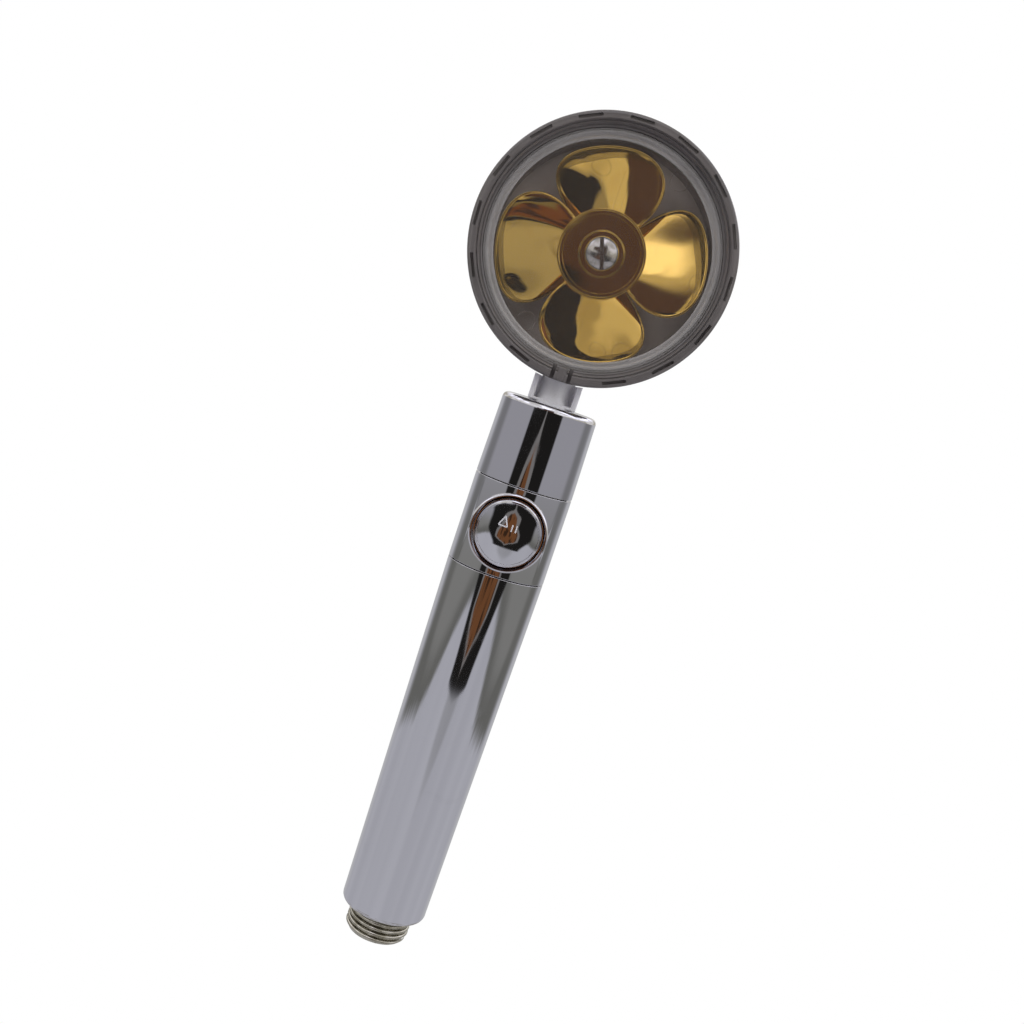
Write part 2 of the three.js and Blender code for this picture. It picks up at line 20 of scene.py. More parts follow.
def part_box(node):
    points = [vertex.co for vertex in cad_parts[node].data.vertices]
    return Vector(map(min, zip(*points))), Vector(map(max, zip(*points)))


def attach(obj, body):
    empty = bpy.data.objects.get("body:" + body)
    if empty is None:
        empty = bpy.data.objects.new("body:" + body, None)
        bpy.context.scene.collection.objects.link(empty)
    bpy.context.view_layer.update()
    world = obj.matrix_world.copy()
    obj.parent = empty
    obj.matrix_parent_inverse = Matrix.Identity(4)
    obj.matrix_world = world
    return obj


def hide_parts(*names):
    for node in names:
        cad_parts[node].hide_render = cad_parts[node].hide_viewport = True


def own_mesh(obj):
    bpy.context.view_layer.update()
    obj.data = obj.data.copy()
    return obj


logging.basicConfig(level=logging.INFO, format="%(name)s: %(message)s")
LOG = logging.getLogger("shower")

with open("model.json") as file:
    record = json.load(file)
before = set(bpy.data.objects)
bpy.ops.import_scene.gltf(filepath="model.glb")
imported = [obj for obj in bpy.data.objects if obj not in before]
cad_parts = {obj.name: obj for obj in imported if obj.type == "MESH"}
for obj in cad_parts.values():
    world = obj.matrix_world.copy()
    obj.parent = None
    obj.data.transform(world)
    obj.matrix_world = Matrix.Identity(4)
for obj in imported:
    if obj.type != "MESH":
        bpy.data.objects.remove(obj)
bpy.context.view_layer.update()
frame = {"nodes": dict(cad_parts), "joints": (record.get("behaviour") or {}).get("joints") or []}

MM = 0.001
Colour = tuple[float, float, float]
Corner = tuple[float, float, float]
Point = tuple[float, float]

ORIGIN: Corner = (0.0, 0.0, 0.0)

# Numbers of sides of turned pieces, from the widest to the narrowest.
DRUM_SIDES = 256
TUBE_SIDES = 192
CAP_SIDES = 128
BORE_SIDES = 64

JOINED = 1e-7  # points nearer than this become one, in metres
FLAT = 1e-8  # faces thinner than this are dissolved, in metres


class Axis(Enum):
    """The two axes that pieces are turned about."""

    HANDLE = "Z"
    HEAD = "Y"


class Body(Enum):
    """The rigid bodies that pieces ride on."""

    HANDLE = "handle"
    BUTTON = "stop_button"
    HEAD = "head"
    IMPELLER = "impeller"


class Slot(Enum):
    """The record's material slots."""

    CHROME = "chrome_shell"
    GOLD = "gold_plating"
    NICKEL = "nickel_thread"
    STEEL = "steel"
    SMOKE = "smoky_plastic"
    CLEAR = "clear_plastic"
    FROST = "frosted_plastic"
    WHITE = "white_resin"
    GREY = "grey_resin"
    RUBBER = "black_rubber"
    FELT = "filter_felt"


# ------------------------------------------------------------------------- node trees
class Graph:
    """Adds nodes to a shader or geometry tree.

    Attributes:
        FIRST: Number of a Mix node's first colour input.
        SECOND: Number of its second colour input.
        MIXED: Number of its colour output.
    """

    FIRST: int = 6
    SECOND: int = 7
    MIXED: int = 2

    def __init__(self, tree: bpy.types.NodeTree) -> None:
        """Wraps a tree.

        Args:
            tree: The tree that nodes are added to.
        """
        self.tree = tree

    def add(
        self,
        kind: str,
        inputs: Optional[dict[Union[str, int], Any]] = None,
        **settings: Any,
    ) -> bpy.types.Node:
        """Adds one node.

        Args:
            kind: The node's type.
            inputs: Values or sockets for its inputs, by name or by number.
            **settings: The node's own properties.

        Returns:
            The new node.
        """
        node = self.tree.nodes.new(kind)
        for key, value in settings.items():
            setattr(node, key, value)
        for key, value in (inputs or {}).items():
            socket = node.inputs[key]
            if isinstance(value, Value):
                value = value.socket
            if isinstance(value, bpy.types.NodeSocket):
                self.tree.links.new(value, socket)
            else:
                socket.default_value = value
        return node

    def value(
        self,
        kind: str,
        inputs: Optional[dict[Union[str, int], Any]] = None,
        output: Union[str, int] = 0,
        **settings: Any,
    ) -> "Value":
        """Adds one node and wraps one of its outputs, as add does.

        Args:
            kind: The node's type.
            inputs: Values or sockets for its inputs.
            output: The output's name or number.
            **settings: The node's own properties.

        Returns:
            The wrapped output.
        """
        return Value(self, self.add(kind, inputs, **settings).outputs[output])

    def blend(self, share: Any, first: Any, second: Any) -> bpy.types.NodeSocket:
        """Mixes two colours.

        Args:
            share: How much of the second shows, from 0 to 1.
            first: A colour, or a socket that gives one.
            second: The same for the other colour.

        Returns:
            The mixed colour's socket.
        """
        inputs = {0: share}
        for number, colour in ((self.FIRST, first), (self.SECOND, second)):
            inputs[number] = (*colour, 1.0) if isinstance(colour, tuple) else colour
        mix = self.add("ShaderNodeMix", inputs, data_type="RGBA")
        return mix.outputs[self.MIXED]


class Value:
    """A number in a node tree. Its operators add the Math nodes that work them out."""

    def __init__(self, graph: Graph, socket: bpy.types.NodeSocket) -> None:
        """Wraps an output socket of a graph's node."""
        self.graph = graph
        self.socket = socket

    def math(self, operation: str, *operands: Any) -> "Value":
        """Adds a Math node on this value and any others.

        Args:
            operation: The Math node's operation.
            *operands: Its second and third inputs.

        Returns:
            The result.
        """
        inputs = dict(enumerate((self, *operands)))
        return self.graph.value("ShaderNodeMath", inputs, operation=operation)

    def _swapped(self, operation: str, other: Any) -> "Value":
        """The operation with this value as its second input."""
        return self.graph.value("ShaderNodeMath", {0: other, 1: self}, operation=operation)

    def __add__(self, other: Any) -> "Value":
        """The sum."""
        return self.math("ADD", other)

    __radd__ = __add__

    def __sub__(self, other: Any) -> "Value":
        """The difference."""
        return self.math("SUBTRACT", other)

    def __rsub__(self, other: Any) -> "Value":
        """The difference from another value."""
        return self._swapped("SUBTRACT", other)

    def __mul__(self, other: Any) -> "Value":
        """The product."""
        return self.math("MULTIPLY", other)

    __rmul__ = __mul__

    def __truediv__(self, other: Any) -> "Value":
        """The quotient."""
        return self.math("DIVIDE", other)

    def __abs__(self) -> "Value":
        """The value without its sign."""
        return self.math("ABSOLUTE")

    def between(self, low: float, high: float, to: Point = (0.0, 1.0)) -> "Value":
        """A smooth step.

        Args:
            low: Where the step starts.
            high: Where it ends.
            to: The results at those two places.

        Returns:
            The stepped value, held outside low and high.
        """
        inputs = {"Value": self, 1: low, 2: high, 3: to[0], 4: to[1]}
        return self.graph.value("ShaderNodeMapRange", inputs, interpolation_type="SMOOTHSTEP")


# ------------------------------------------------------------------------- finishes
@dataclass(frozen=True)
class Finish:
    """A moulded or turned surface; the other finishes build on it.

    Attributes:
        slot: The record's slot that it stands for.
        colour: Its main colour.
        shade: The colour that patches of it drift to.
        roughness: At its smoothest and at its dullest.
        metallic: 0 or 1.
        patch: Size of the drifting patches, in millimetres.
        grain: Size of the fine grain, in millimetres.
        relief: Depth of the grain, in millimetres.
    """

    slot: Slot
    colour: Colour
    shade: Colour
    roughness: Point
    metallic: float = 0.0
    patch: float = 14.0
    grain: float = 0.8
    relief: float = 0.004

    def build(self) -> bpy.types.Material:
        """Makes the material.

        Returns:
            A material named after the slot.
        """
        material = bpy.data.materials.new(self.slot.value)
        material.use_nodes = True
        material.node_tree.nodes.clear()
        graph = Graph(material.node_tree)
        surface = self.surface(graph)
        graph.add("ShaderNodeOutputMaterial", {"Surface": surface})
        return material

    def noise(self, graph: Graph, size: float, detail: float = 3.0, **extra: Any) -> Value:
        """Noise over the piece's own coordinates.

        Args:
            graph: The material's graph.
            size: Size of its features, in millimetres.
            detail: Number of finer octaves.
            **extra: Other inputs of the noise node, by name.

        Returns:
            The noise, from 0 to 1.
        """
        where = extra.pop("vector", None)
        if where is None:
            where = graph.add("ShaderNodeTexCoord").outputs["Object"]
        inputs = {"Vector": where, "Scale": 1 / (size * MM), "Detail": detail, **extra}
        return graph.value("ShaderNodeTexNoise", inputs, "Fac")

    def tint(self, graph: Graph, share: Any) -> bpy.types.NodeSocket:
        """The main colour drifting to the shade.

        Args:
            graph: The material's graph.
            share: How much of the shade shows, from 0 to 1.

        Returns:
            The colour's socket.
        """
        return graph.blend(share, self.colour, self.shade)

    def bump(self, graph: Graph, height: Value, depth: float) -> bpy.types.NodeSocket:
        """A bumped normal.

        Args:
            graph: The material's graph.
            height: The height, from 0 to 1.
            depth: What a height of 1 stands for, in millimetres.

        Returns:
            The normal's socket.
        """
        inputs = {"Height": height, "Distance": depth * MM, "Strength": 1.0}
        return graph.add("ShaderNodeBump", inputs).outputs["Normal"]

    def body(self, graph: Graph, **more: Any) -> bpy.types.NodeSocket:
        """The main shader, with drifting colour, uneven gloss and fine grain.

        Args:
            graph: The material's graph.
            **more: More inputs of the shader, with spaces written as underscores.

        Returns:
            The shader's socket.
        """
        patches = self.noise(graph, self.patch)
        fine = self.noise(graph, self.grain, 2.0)
        low, high = self.roughness
        inputs = {
            "Base Color": self.tint(graph, patches.between(0.35, 0.75)),
            "Roughness": patches * fine.between(0.2, 0.8) * (high - low) + low,
            "Metallic": self.metallic,
            "Normal": self.bump(graph, fine, self.relief),
            **{name.replace("_", " "): value for name, value in more.items()},
        }
        return graph.add("ShaderNodeBsdfPrincipled", inputs).outputs["BSDF"]

    def surface(self, graph: Graph) -> bpy.types.NodeSocket:
        """The shader that goes to the output."""
        return self.body(graph)


@dataclass(frozen=True)
class Plating(Finish):
    """Bright plating over moulded plastic: long soft waves, smudges and a few dried drops.

    Attributes:
        wave: Depth of the soft waves under the plating, in millimetres.
        drops: Distance between the dried drops, in millimetres.
    """

    wave: float = 0.02
    drops: float = 9.0

    def surface(self, graph: Graph) -> bpy.types.NodeSocket:
        """The plated shader.

        Args:
            graph: The material's graph.

        Returns:
            The shader's socket.
        """
        smudge = self.noise(graph, self.patch, 5.0, Distortion=0.6).between(0.5, 0.8)
        haze = self.noise(graph, self.patch / 5, 1.0)
        where = graph.add("ShaderNodeTexCoord").outputs["Object"]
        cells = {"Vector": where, "Scale": 1 / (self.drops * MM), "Randomness": 1.0}
        away = graph.value("ShaderNodeTexVoronoi", cells, "Distance", feature="F1")
        drop = 1 - away.between(0.05, 0.09)
        ring = drop * away.between(0.035, 0.06)
        low, high = self.roughness
        dull = smudge * haze.between(0.3, 0.7) + ring * 0.5
        soft = self.noise(graph, self.patch * 2.2, 1.0)
        inputs = {
            "Base Color": self.tint(graph, (smudge * 0.4 + ring * 0.3).between(0.0, 1.0)),
            "Roughness": dull * (high - low) + low,
            "Metallic": 1.0,
            "Normal": self.bump(graph, soft * 0.99 + haze * 0.01, self.wave),
        }
        return graph.add("ShaderNodeBsdfPrincipled", inputs).outputs["BSDF"]


@dataclass(frozen=True)
class TurnedMetal(Finish):
    """Metal turned on a lathe: fine rings round the handle's axis and tarnish in patches.

    Attributes:
        stretch: Scale of the grain across the axis and along it, which makes it rings.
    """

    stretch: Corner = (0.04, 0.04, 1.0)

    def surface(self, graph: Graph) -> bpy.types.NodeSocket:
        """The turned shader.

        Args:
            graph: The material's graph.

        Returns:
            The shader's socket.
        """
        where = graph.add("ShaderNodeTexCoord").outputs["Object"]
        stretched = graph.add("ShaderNodeMapping", {"Vector": where, "Scale": self.stretch})
        rings = self.noise(graph, self.grain / 4, 2.0, vector=stretched.outputs["Vector"])
        tarnish = self.noise(graph, self.patch / 3, 6.0).between(0.4, 0.7)
        low, high = self.roughness
        inputs = {
            "Base Color": self.tint(graph, tarnish),
            "Roughness": rings * tarnish * (high - low) + low,
            "Metallic": self.metallic,
            "Normal": self.bump(graph, rings, self.relief),
        }
        return graph.add("ShaderNodeBsdfPrincipled", inputs).outputs["BSDF"]


@dataclass(frozen=True)
class SeeThrough(Finish):
    """Clear or smoky plastic: what is behind it shows, dimmed, under a glossy face.

    Attributes:
        veil: Share of the plastic's own colour over what is behind it.
        passing: Colour of the light that comes through.
        sheen: Share of the plastic's face that shows seen straight on.
        edge: Share that is added where it is seen edge on.
    """

    veil: float = 0.1
    passing: Colour = (0.9, 0.9, 0.9)
    sheen: float = 0.035
    edge: float = 0.8

    def surface(self, graph: Graph) -> bpy.types.NodeSocket:
        """The see-through shader.

        Args:
            graph: The material's graph.

        Returns:
            The shader's socket.
        """
        cloud = self.noise(graph, self.patch, 4.0).between(0.2, 0.8)
        scratch = self.noise(graph, self.grain, 4.0, Distortion=1.5).between(0.62, 0.72)
        own = self.body(graph)
        through = graph.add("ShaderNodeBsdfTransparent", {"Color": (*self.passing, 1.0)})
        glancing = graph.value("ShaderNodeLayerWeight", {"Blend": 0.5}, "Facing")
        shine = glancing.math("POWER", 5.0) * self.edge + self.sheen
        veil = cloud * (self.veil * 0.3) + self.veil * 0.85 + scratch * 0.02 + shine
        mix = {"Fac": veil.math("MINIMUM", 1.0), 1: through.outputs[0], 2: own}
        return graph.add("ShaderNodeMixShader", mix).outputs[0]


@dataclass(frozen=True)
class Frosted(Finish):
    """Pale plastic that light soaks into."""

    def surface(self, graph: Graph) -> bpy.types.NodeSocket:
        """The frosted shader.

        Args:
            graph: The material's graph.

        Returns:
            The shader's socket.
        """
        return self.body(
            graph,
            Subsurface_Weight=0.35,
            Subsurface_Radius=(1.0, 1.0, 1.1),
            Subsurface_Scale=0.004,
            Coat_Weight=0.3,
        )


@dataclass(frozen=True)
class Felt(Finish):
    """Matted fibres."""

    def surface(self, graph: Graph) -> bpy.types.NodeSocket:
        """The felt shader."""
        return self.body(graph, Sheen_Weight=0.4, Sheen_Roughness=0.5)


FINISHES: tuple[Finish, ...] = (
    Plating(Slot.CHROME, (0.70, 0.70, 0.745), (0.60, 0.60, 0.63), (0.035, 0.11), patch=16),
    Plating(Slot.GOLD, (0.92, 0.63, 0.165), (0.80, 0.46, 0.08), (0.03, 0.1), patch=8, wave=0.3),
    TurnedMetal(Slot.NICKEL, (0.60, 0.58, 0.51), (0.34, 0.32, 0.25), (0.16, 0.5), 1, 12, 0.9),
    TurnedMetal(Slot.STEEL, (0.70, 0.70, 0.71), (0.58, 0.57, 0.56), (0.12, 0.35), 1, 8, 0.6),
    SeeThrough(
        Slot.SMOKE,
        (0.165, 0.152, 0.148),
        (0.115, 0.106, 0.103),
        (0.06, 0.2),
        veil=0.6,
        passing=(0.42, 0.4, 0.385),
    ),
    SeeThrough(
        Slot.CLEAR,
        (0.34, 0.33, 0.32),
        (0.26, 0.25, 0.25),
        (0.02, 0.12),
        veil=0.02,
        sheen=0.02,
        passing=(0.94, 0.93, 0.92),
        relief=0.0,
        grain=5.0,
    ),
    Frosted(Slot.FROST, (0.72, 0.72, 0.755), (0.62, 0.62, 0.65), (0.25, 0.5), grain=0.5),
    Finish(Slot.WHITE, (0.78, 0.77, 0.73), (0.70, 0.69, 0.64), (0.4, 0.7)),
    Finish(Slot.GREY, (0.42, 0.385, 0.365), (0.34, 0.31, 0.295), (0.3, 0.6)),
    Finish(Slot.RUBBER, (0.016, 0.016, 0.017), (0.026, 0.025, 0.024), (0.6, 0.9), grain=0.4),
    Felt(Slot.FELT, (0.84, 0.83, 0.79), (0.76, 0.74, 0.68), (0.9, 1.0), grain=0.35, relief=0.1),
)

# Lighter copies of the smoky and clear plastics for the drum and the window's rim: painted light,
# standing in for the light that shines through them.
SMOKE_WITH_PAINTED_LIGHT = SeeThrough(
    Slot.SMOKE,
    (0.24, 0.225, 0.215),
    (0.17, 0.158, 0.152),
    (0.06, 0.2),
    veil=0.28,
    passing=(0.84, 0.82, 0.8),
)
# The window rim's lighter copy of the clear plastic: painted light.
CLEAR_WITH_PAINTED_LIGHT = SeeThrough(
    Slot.CLEAR,
    (0.55, 0.54, 0.53),
    (0.42, 0.41, 0.40),
    (0.08, 0.2),
    veil=0.24,
    passing=(0.95, 0.94, 0.93),
    relief=0.0,
)


class Workshop:
    """Holds the built materials and hands finished pieces to the frame."""

    def __init__(self) -> None:
        """Builds every finish."""
        self.materials = {finish.slot: finish.build() for finish in FINISHES}
        # Lighter clear copy for the window's rim: its extra brightness is painted light.
        self.rim_clear_painted_light = CLEAR_WITH_PAINTED_LIGHT.build()
        # Lighter smoky copy for the drum: its extra brightness is painted light.
        self.drum_smoke_painted_light = SMOKE_WITH_PAINTED_LIGHT.build()

    def dress(self, piece: bpy.types.Object, slot: Slot) -> None:
        """Gives a piece one finish all over."""
        piece.data.materials.clear()
        piece.data.materials.append(self.materials[slot])

    def hand_in(
        self,
        piece: bpy.types.Object,
        slot: Slot,
        body: Body,
        replaces: Sequence[str] = (),
        crease: float = 32.0,
        material: Optional[bpy.types.Material] = None,
    ) -> bpy.types.Object:
        """Dresses a finished piece and puts it on its body.

        Args:
            piece: The piece, in place.
            slot: Its finish.
            body: The body it rides on.
            replaces: The frame's nodes that it stands for.
            crease: Edges sharper than this many degrees stay sharp.
            material: A material other than the slot's usual one.

        Returns:
            The piece.
        """
        self.dress(piece, slot)
        if material:
            piece.data.materials[0] = material
        mesh = piece.data
        mesh.polygons.foreach_set("use_smooth", [True] * len(mesh.polygons))
        mesh.set_sharp_from_angle(angle=math.radians(crease))
        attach(piece, body.value)
        if replaces:
            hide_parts(*replaces)
        LOG.info("%s on %s: %d faces, %s", piece.name, body.value, len(mesh.polygons), slot.value)
        return piece

    def carry_over(self, nodes: dict[str, Slot]) -> None:
        """Gives nodes of the frame that stay as they are their finishes.

        Args:
            nodes: The finish of each node.
        """
        for name, slot in nodes.items():
            self.dress(frame["nodes"][name], slot)
            LOG.info("%s kept from the frame, %s", name, slot.value)


# ------------------------------------------------------------------------- mesh making
def rounded(corners: Sequence[Corner], steps: int = 5) -> list[Point]:
    """Rounds the corners of an outline, with a guard point just outside each end of a fillet.

    Args:
        corners: (radius, height, fillet) of each corner, in millimetres. The outline closes on
            itself, or starts and ends on the axis.
        steps: Number of chords in each fillet.

    Returns:
        The points of the outline.
    """
    points: list[Point] = []
    for index, (radius, height, fillet) in enumerate(corners):
        here = Vector((radius, height))
        if fillet <= 0:
            points.append((radius, height))
            continue
        before = Vector(corners[index - 1][:2]) - here
        after = Vector(corners[(index + 1) % len(corners)][:2]) - here
        half = before.angle(after) / 2
        reach = min(fillet / math.tan(half), 0.49 * before.length, 0.49 * after.length)
        start = here + before.normalized() * reach
        middle = (before.normalized() + after.normalized()).normalized()
        centre = here + middle * (reach / math.cos(half))
        first = math.atan2(*reversed(start - centre))
        turn = math.pi - 2 * half
        side = 1 if before.cross(after) < 0 else -1
        size = reach * math.tan(half)
        guard = min(reach * 1.02 + 0.01, 0.495 * min(before.length, after.length))
        points.append(tuple(here + before.normalized() * guard))
        for step in range(steps + 1):
            angle = first + side * turn * step / steps
            points.append((centre.x + size * math.cos(angle), centre.y + size * math.sin(angle)))
        points.append(tuple(here + after.normalized() * guard))
    return points


def new_object(name: str, mesh: bpy.types.Mesh) -> bpy.types.Object:
    """Links a new object that holds a mesh.

    Args:
        name: The object's name.
        mesh: Its mesh.

    Returns:
        The object.
    """
    made = bpy.data.objects.new(name, mesh)
    bpy.context.scene.collection.objects.link(made)
    return made


def from_bmesh(name: str, work: bmesh.types.BMesh) -> bpy.types.Object:
    """Turns a bmesh into a new object, with its doubles merged and its faces outwards.

    Args:
        name: The object's name.
        work: The bmesh, which is freed.

    Returns:
        The object.
    """
    bmesh.ops.remove_doubles(work, verts=work.verts, dist=JOINED)
    bmesh.ops.dissolve_degenerate(work, edges=work.edges, dist=FLAT)
    bmesh.ops.recalc_face_normals(work, faces=work.faces)
    mesh = bpy.data.meshes.new(name)
    work.to_mesh(mesh)
    work.free()
    return new_object(name, mesh)


def revolve(
    name: str,
    outline: Sequence[Point],
    axis: Axis,
    centre: Sequence[float] = ORIGIN,
    segments: int = TUBE_SIDES,
) -> bpy.types.Object:
    """Turns an outline about an axis.

    Args:
        name: The piece's name.
        outline: Its (radius, height) points, in millimetres.
        axis: The axis to turn it about.
        centre: A point on that axis, from which the heights count, in millimetres.
        segments: Number of sides.

    Returns:
        The closed piece.
    """
    work = bmesh.new()
    columns = []
    for index in range(segments):
        angle = 2 * math.pi * index / segments
        across, along = math.cos(angle), math.sin(angle)
        column = []
        for radius, height in outline:
            if axis is Axis.HANDLE:
                place = Vector((radius * across, radius * along, height))
            else:
                place = Vector((radius * across, height, radius * along))
            column.append(work.verts.new((place + Vector(centre)) * MM))
        columns.append(column)
    on_axis = max(outline[0][0], outline[-1][0]) == 0
    spans = len(outline) - 1 if on_axis else len(outline)
    for index, column in enumerate(columns):
        other = columns[(index + 1) % segments]
        for low in range(spans):
            high = (low + 1) % len(outline)
            work.faces.new((column[low], other[low], other[high], column[high]))
    return from_bmesh(name, work)


def turned(
    name: str,
    corners: Sequence[Corner],
    axis: Axis,
    centre: Sequence[float] = ORIGIN,
    sides: int = TUBE_SIDES,
) -> bpy.types.Object:
    """Turns an outline with rounded corners, as revolve does."""
    return revolve(name, rounded(corners), axis, centre, sides)


def rod(
    name: str,
    radius: float,
    ends: Point,
    axis: Axis,
    centre: Sequence[float] = ORIGIN,
    sides: int = BORE_SIDES,
) -> bpy.types.Object:
    """A plain cylinder, for cutting.

    Args:
        name: Its name.
        radius: Its radius, in millimetres.
        ends: The heights of its two ends, the lower first.
        axis: The axis it lies along.
        centre: A point on that axis, from which the heights count.
        sides: Number of sides.

    Returns:
        The cylinder.
    """
    low, high = ends
    outline = [(0, low), (radius, low), (radius, high), (0, high)]
    return revolve(name, outline, axis, centre, sides)


def box_piece(name: str, low: Sequence[float], high: Sequence[float]) -> bpy.types.Object:
    """A block, for cutting or joining.

    Args:
        name: Its name.
        low: Its lowest corner, in millimetres.
        high: Its highest corner.

    Returns:
        The block.
    """
    work = bmesh.new()
    bmesh.ops.create_cube(work, size=1.0)
    ends = (low, high)
    for vertex in work.verts:
        vertex.co = Vector(ends[vertex.co[i] > 0][i] for i in range(3)) * MM
    return from_bmesh(name, work)


def settled(piece: bpy.types.Object) -> bpy.types.Object:
    """Replaces a piece's mesh with what its modifiers make of it, and removes them.

    Args:
        piece: The piece.

    Returns:
        The piece.
    """
    bpy.context.view_layer.update()
    graph = bpy.context.evaluated_depsgraph_get()
    mesh = bpy.data.meshes.new_from_object(piece.evaluated_get(graph))
    mesh.name = piece.name
    piece.modifiers.clear()
    piece.data = mesh
    return piece


def combine(
    piece: bpy.types.Object, *tools: bpy.types.Object, operation: str = "DIFFERENCE"
) -> bpy.types.Object:
    """Cuts tools from a piece, or joins them to it.

    Args:
        piece: The piece, which is changed.
        *tools: The tools, which are removed.
        operation: DIFFERENCE, UNION or INTERSECT.

    Returns:
        The piece.
    """
    for tool in tools:
        modifier = piece.modifiers.new("combine", "BOOLEAN")
        modifier.operation = operation
        modifier.solver = "EXACT"
        modifier.object = tool
    settled(piece)
    for tool in tools:
        bpy.data.objects.remove(tool)
    return piece


def merged(piece: bpy.types.Object, *others: bpy.types.Object) -> bpy.types.Object:
    """Puts the meshes of others into a piece as they are.

    Args:
        piece: The piece.
        *others: The others, which are removed.

    Returns:
        The piece.
    """
    work = bmesh.new()
    work.from_mesh(piece.data)
    for other in others:
        work.from_mesh(other.data)
        bpy.data.objects.remove(other)
    work.to_mesh(piece.data)
    work.free()
    return piece


def softened(
    piece: bpy.types.Object, width: float, steps: int = 2, sharp: float = 40.0
) -> bpy.types.Object:
    """Bevels a piece's sharp edges.

    Args:
        piece: The piece.
        width: The bevel's width, in millimetres.
        steps: Its number of segments.
        sharp: Edges bent by more than this many degrees are bevelled.

    Returns:
        The piece.
    """
    modifier = piece.modifiers.new("edges", "BEVEL")
    modifier.width = width * MM
    modifier.segments = steps
    modifier.limit_method = "ANGLE"
    modifier.angle_limit = math.radians(sharp)
    return settled(piece)


# ------------------------------------------------------------------------- geometry nodes
class ShapeTree:
    """A geometry tree with named inputs, which ends in Realize Instances and Set Material."""

    def __init__(self, name: str, inputs: dict[str, str]) -> None:
        """Starts the tree.

        Args:
            name: The tree's name.
            inputs: Socket type of each named input.
        """
        self.tree = bpy.data.node_groups.new(name, "GeometryNodeTree")
        face = self.tree.interface
        face.new_socket("Geometry", in_out="INPUT", socket_type="NodeSocketGeometry")
        self.sockets = {
            key: face.new_socket(key, in_out="INPUT", socket_type=kind)
            for key, kind in {**inputs, "Material": "NodeSocketMaterial"}.items()
        }
        face.new_socket("Geometry", in_out="OUTPUT", socket_type="NodeSocketGeometry")
        self.graph = Graph(self.tree)
        self.source = self.graph.add("NodeGroupInput")

    def given(self, name: str) -> Value:
        """One of the named inputs."""
        return Value(self.graph, self.source.outputs[name])

    def close(self, geometry: bpy.types.NodeSocket) -> None:
        """Ends the tree.

        Args:
            geometry: The socket of the finished geometry.
        """
        real = self.graph.add("GeometryNodeRealizeInstances", {"Geometry": geometry})
        inputs = {"Geometry": real.outputs[0], "Material": self.given("Material")}
        dressed = self.graph.add("GeometryNodeSetMaterial", inputs)
        self.graph.add("NodeGroupOutput", {"Geometry": dressed.outputs[0]})

    def make(
        self,
        name: str,
        material: bpy.types.Material,
        source: Optional[bpy.types.Mesh] = None,
        **values: Any,
    ) -> bpy.types.Object:
        """Runs the tree.

        Args:
            name: The new piece's name.
            material: Its material.
            source: The mesh that goes in as the geometry, if the tree uses one.
            **values: The named inputs.

        Returns:
            A piece with a plain mesh.
        """
        piece = new_object(name, source or bpy.data.meshes.new(name))
        modifier = piece.modifiers.new(name, "NODES")
        modifier.node_group = self.tree
        for key, value in {**values, "Material": material}.items():
            modifier[self.sockets[key].identifier] = value
        return settled(piece)


class AroundHead(ShapeTree):
    """Sets copies of an item round the head's axis, each with its own +X pointing outwards."""

    def __init__(self) -> None:
        """Builds the tree."""
        kinds = {
            "Item": "NodeSocketObject",
            "Count": "NodeSocketInt",
            "Radius": "NodeSocketFloat",
            "Start": "NodeSocketFloat",
            "Step": "NodeSocketFloat",
            "Centre": "NodeSocketVector",
        }
        super().__init__("around_head", kinds)
        graph = self.graph
        points = graph.add("GeometryNodePoints", {"Count": self.given("Count")})
        angle = graph.value("GeometryNodeInputIndex") * self.given("Step") + self.given("Start")
        radius = self.given("Radius")
        spoke = {"X": angle.math("COSINE") * radius, "Z": angle.math("SINE") * radius}
        offset = graph.add("ShaderNodeCombineXYZ", spoke)
        place = graph.add(
            "ShaderNodeVectorMath", {0: offset.outputs[0], 1: self.given("Centre")}
        )
        moved = graph.add(
            "GeometryNodeSetPosition",
            {"Geometry": points.outputs[0], "Position": place.outputs[0]},
        )
        turn = graph.add("ShaderNodeCombineXYZ", {"Y": angle * -1})
        item = graph.add("GeometryNodeObjectInfo", {"Object": self.given("Item")})
        inputs = {
            "Points": moved.outputs[0],
            "Instance": item.outputs["Geometry"],
            "Rotation": turn.outputs[0],
        }
        self.close(graph.add("GeometryNodeInstanceOnPoints", inputs).outputs[0])


class Coil(ShapeTree):
    """A wire wound up a cylinder about +Z, thinned at both ends."""

    def __init__(self) -> None:
        """Builds the tree."""
        sizes = ("Radius", "Rise", "Turns", "Wire", "Taper")
        super().__init__("coil", {name: "NodeSocketFloat" for name in sizes})
        graph = self.graph
        spiral = graph.add(
            "GeometryNodeCurveSpiral",
            {
                "Resolution": 48,
                "Rotations": self.given("Turns"),
                "Start Radius": self.given("Radius"),
                "End Radius": self.given("Radius"),
                "Height": self.given("Rise"),
            },
        )
        along = graph.value("GeometryNodeSplineParameter", output="Factor")
        end = (abs(along * 2 - 1) * -1 + 1) / self.given("Taper")
        thickness = end.math("MINIMUM", 1.0).math("MAXIMUM", 0.02).math("POWER", 0.6)
        shaped = graph.add(
            "GeometryNodeSetCurveRadius",
            {"Curve": spiral.outputs[0], "Radius": thickness},
        )
        section = graph.add(
            "GeometryNodeCurvePrimitiveCircle", {"Resolution": 12, "Radius": self.given("Wire")}
        )
        inputs = {
            "Curve": shaped.outputs[0],
            "Profile Curve": section.outputs[0],
            "Fill Caps": True,
        }
        mesh = graph.add("GeometryNodeCurveToMesh", inputs)
        # Where the node has this input, the wire's width comes from it, not from the curve.
        if "Scale" in mesh.inputs:
            graph.tree.links.new(thickness.socket, mesh.inputs["Scale"])
        self.close(mesh.outputs[0])


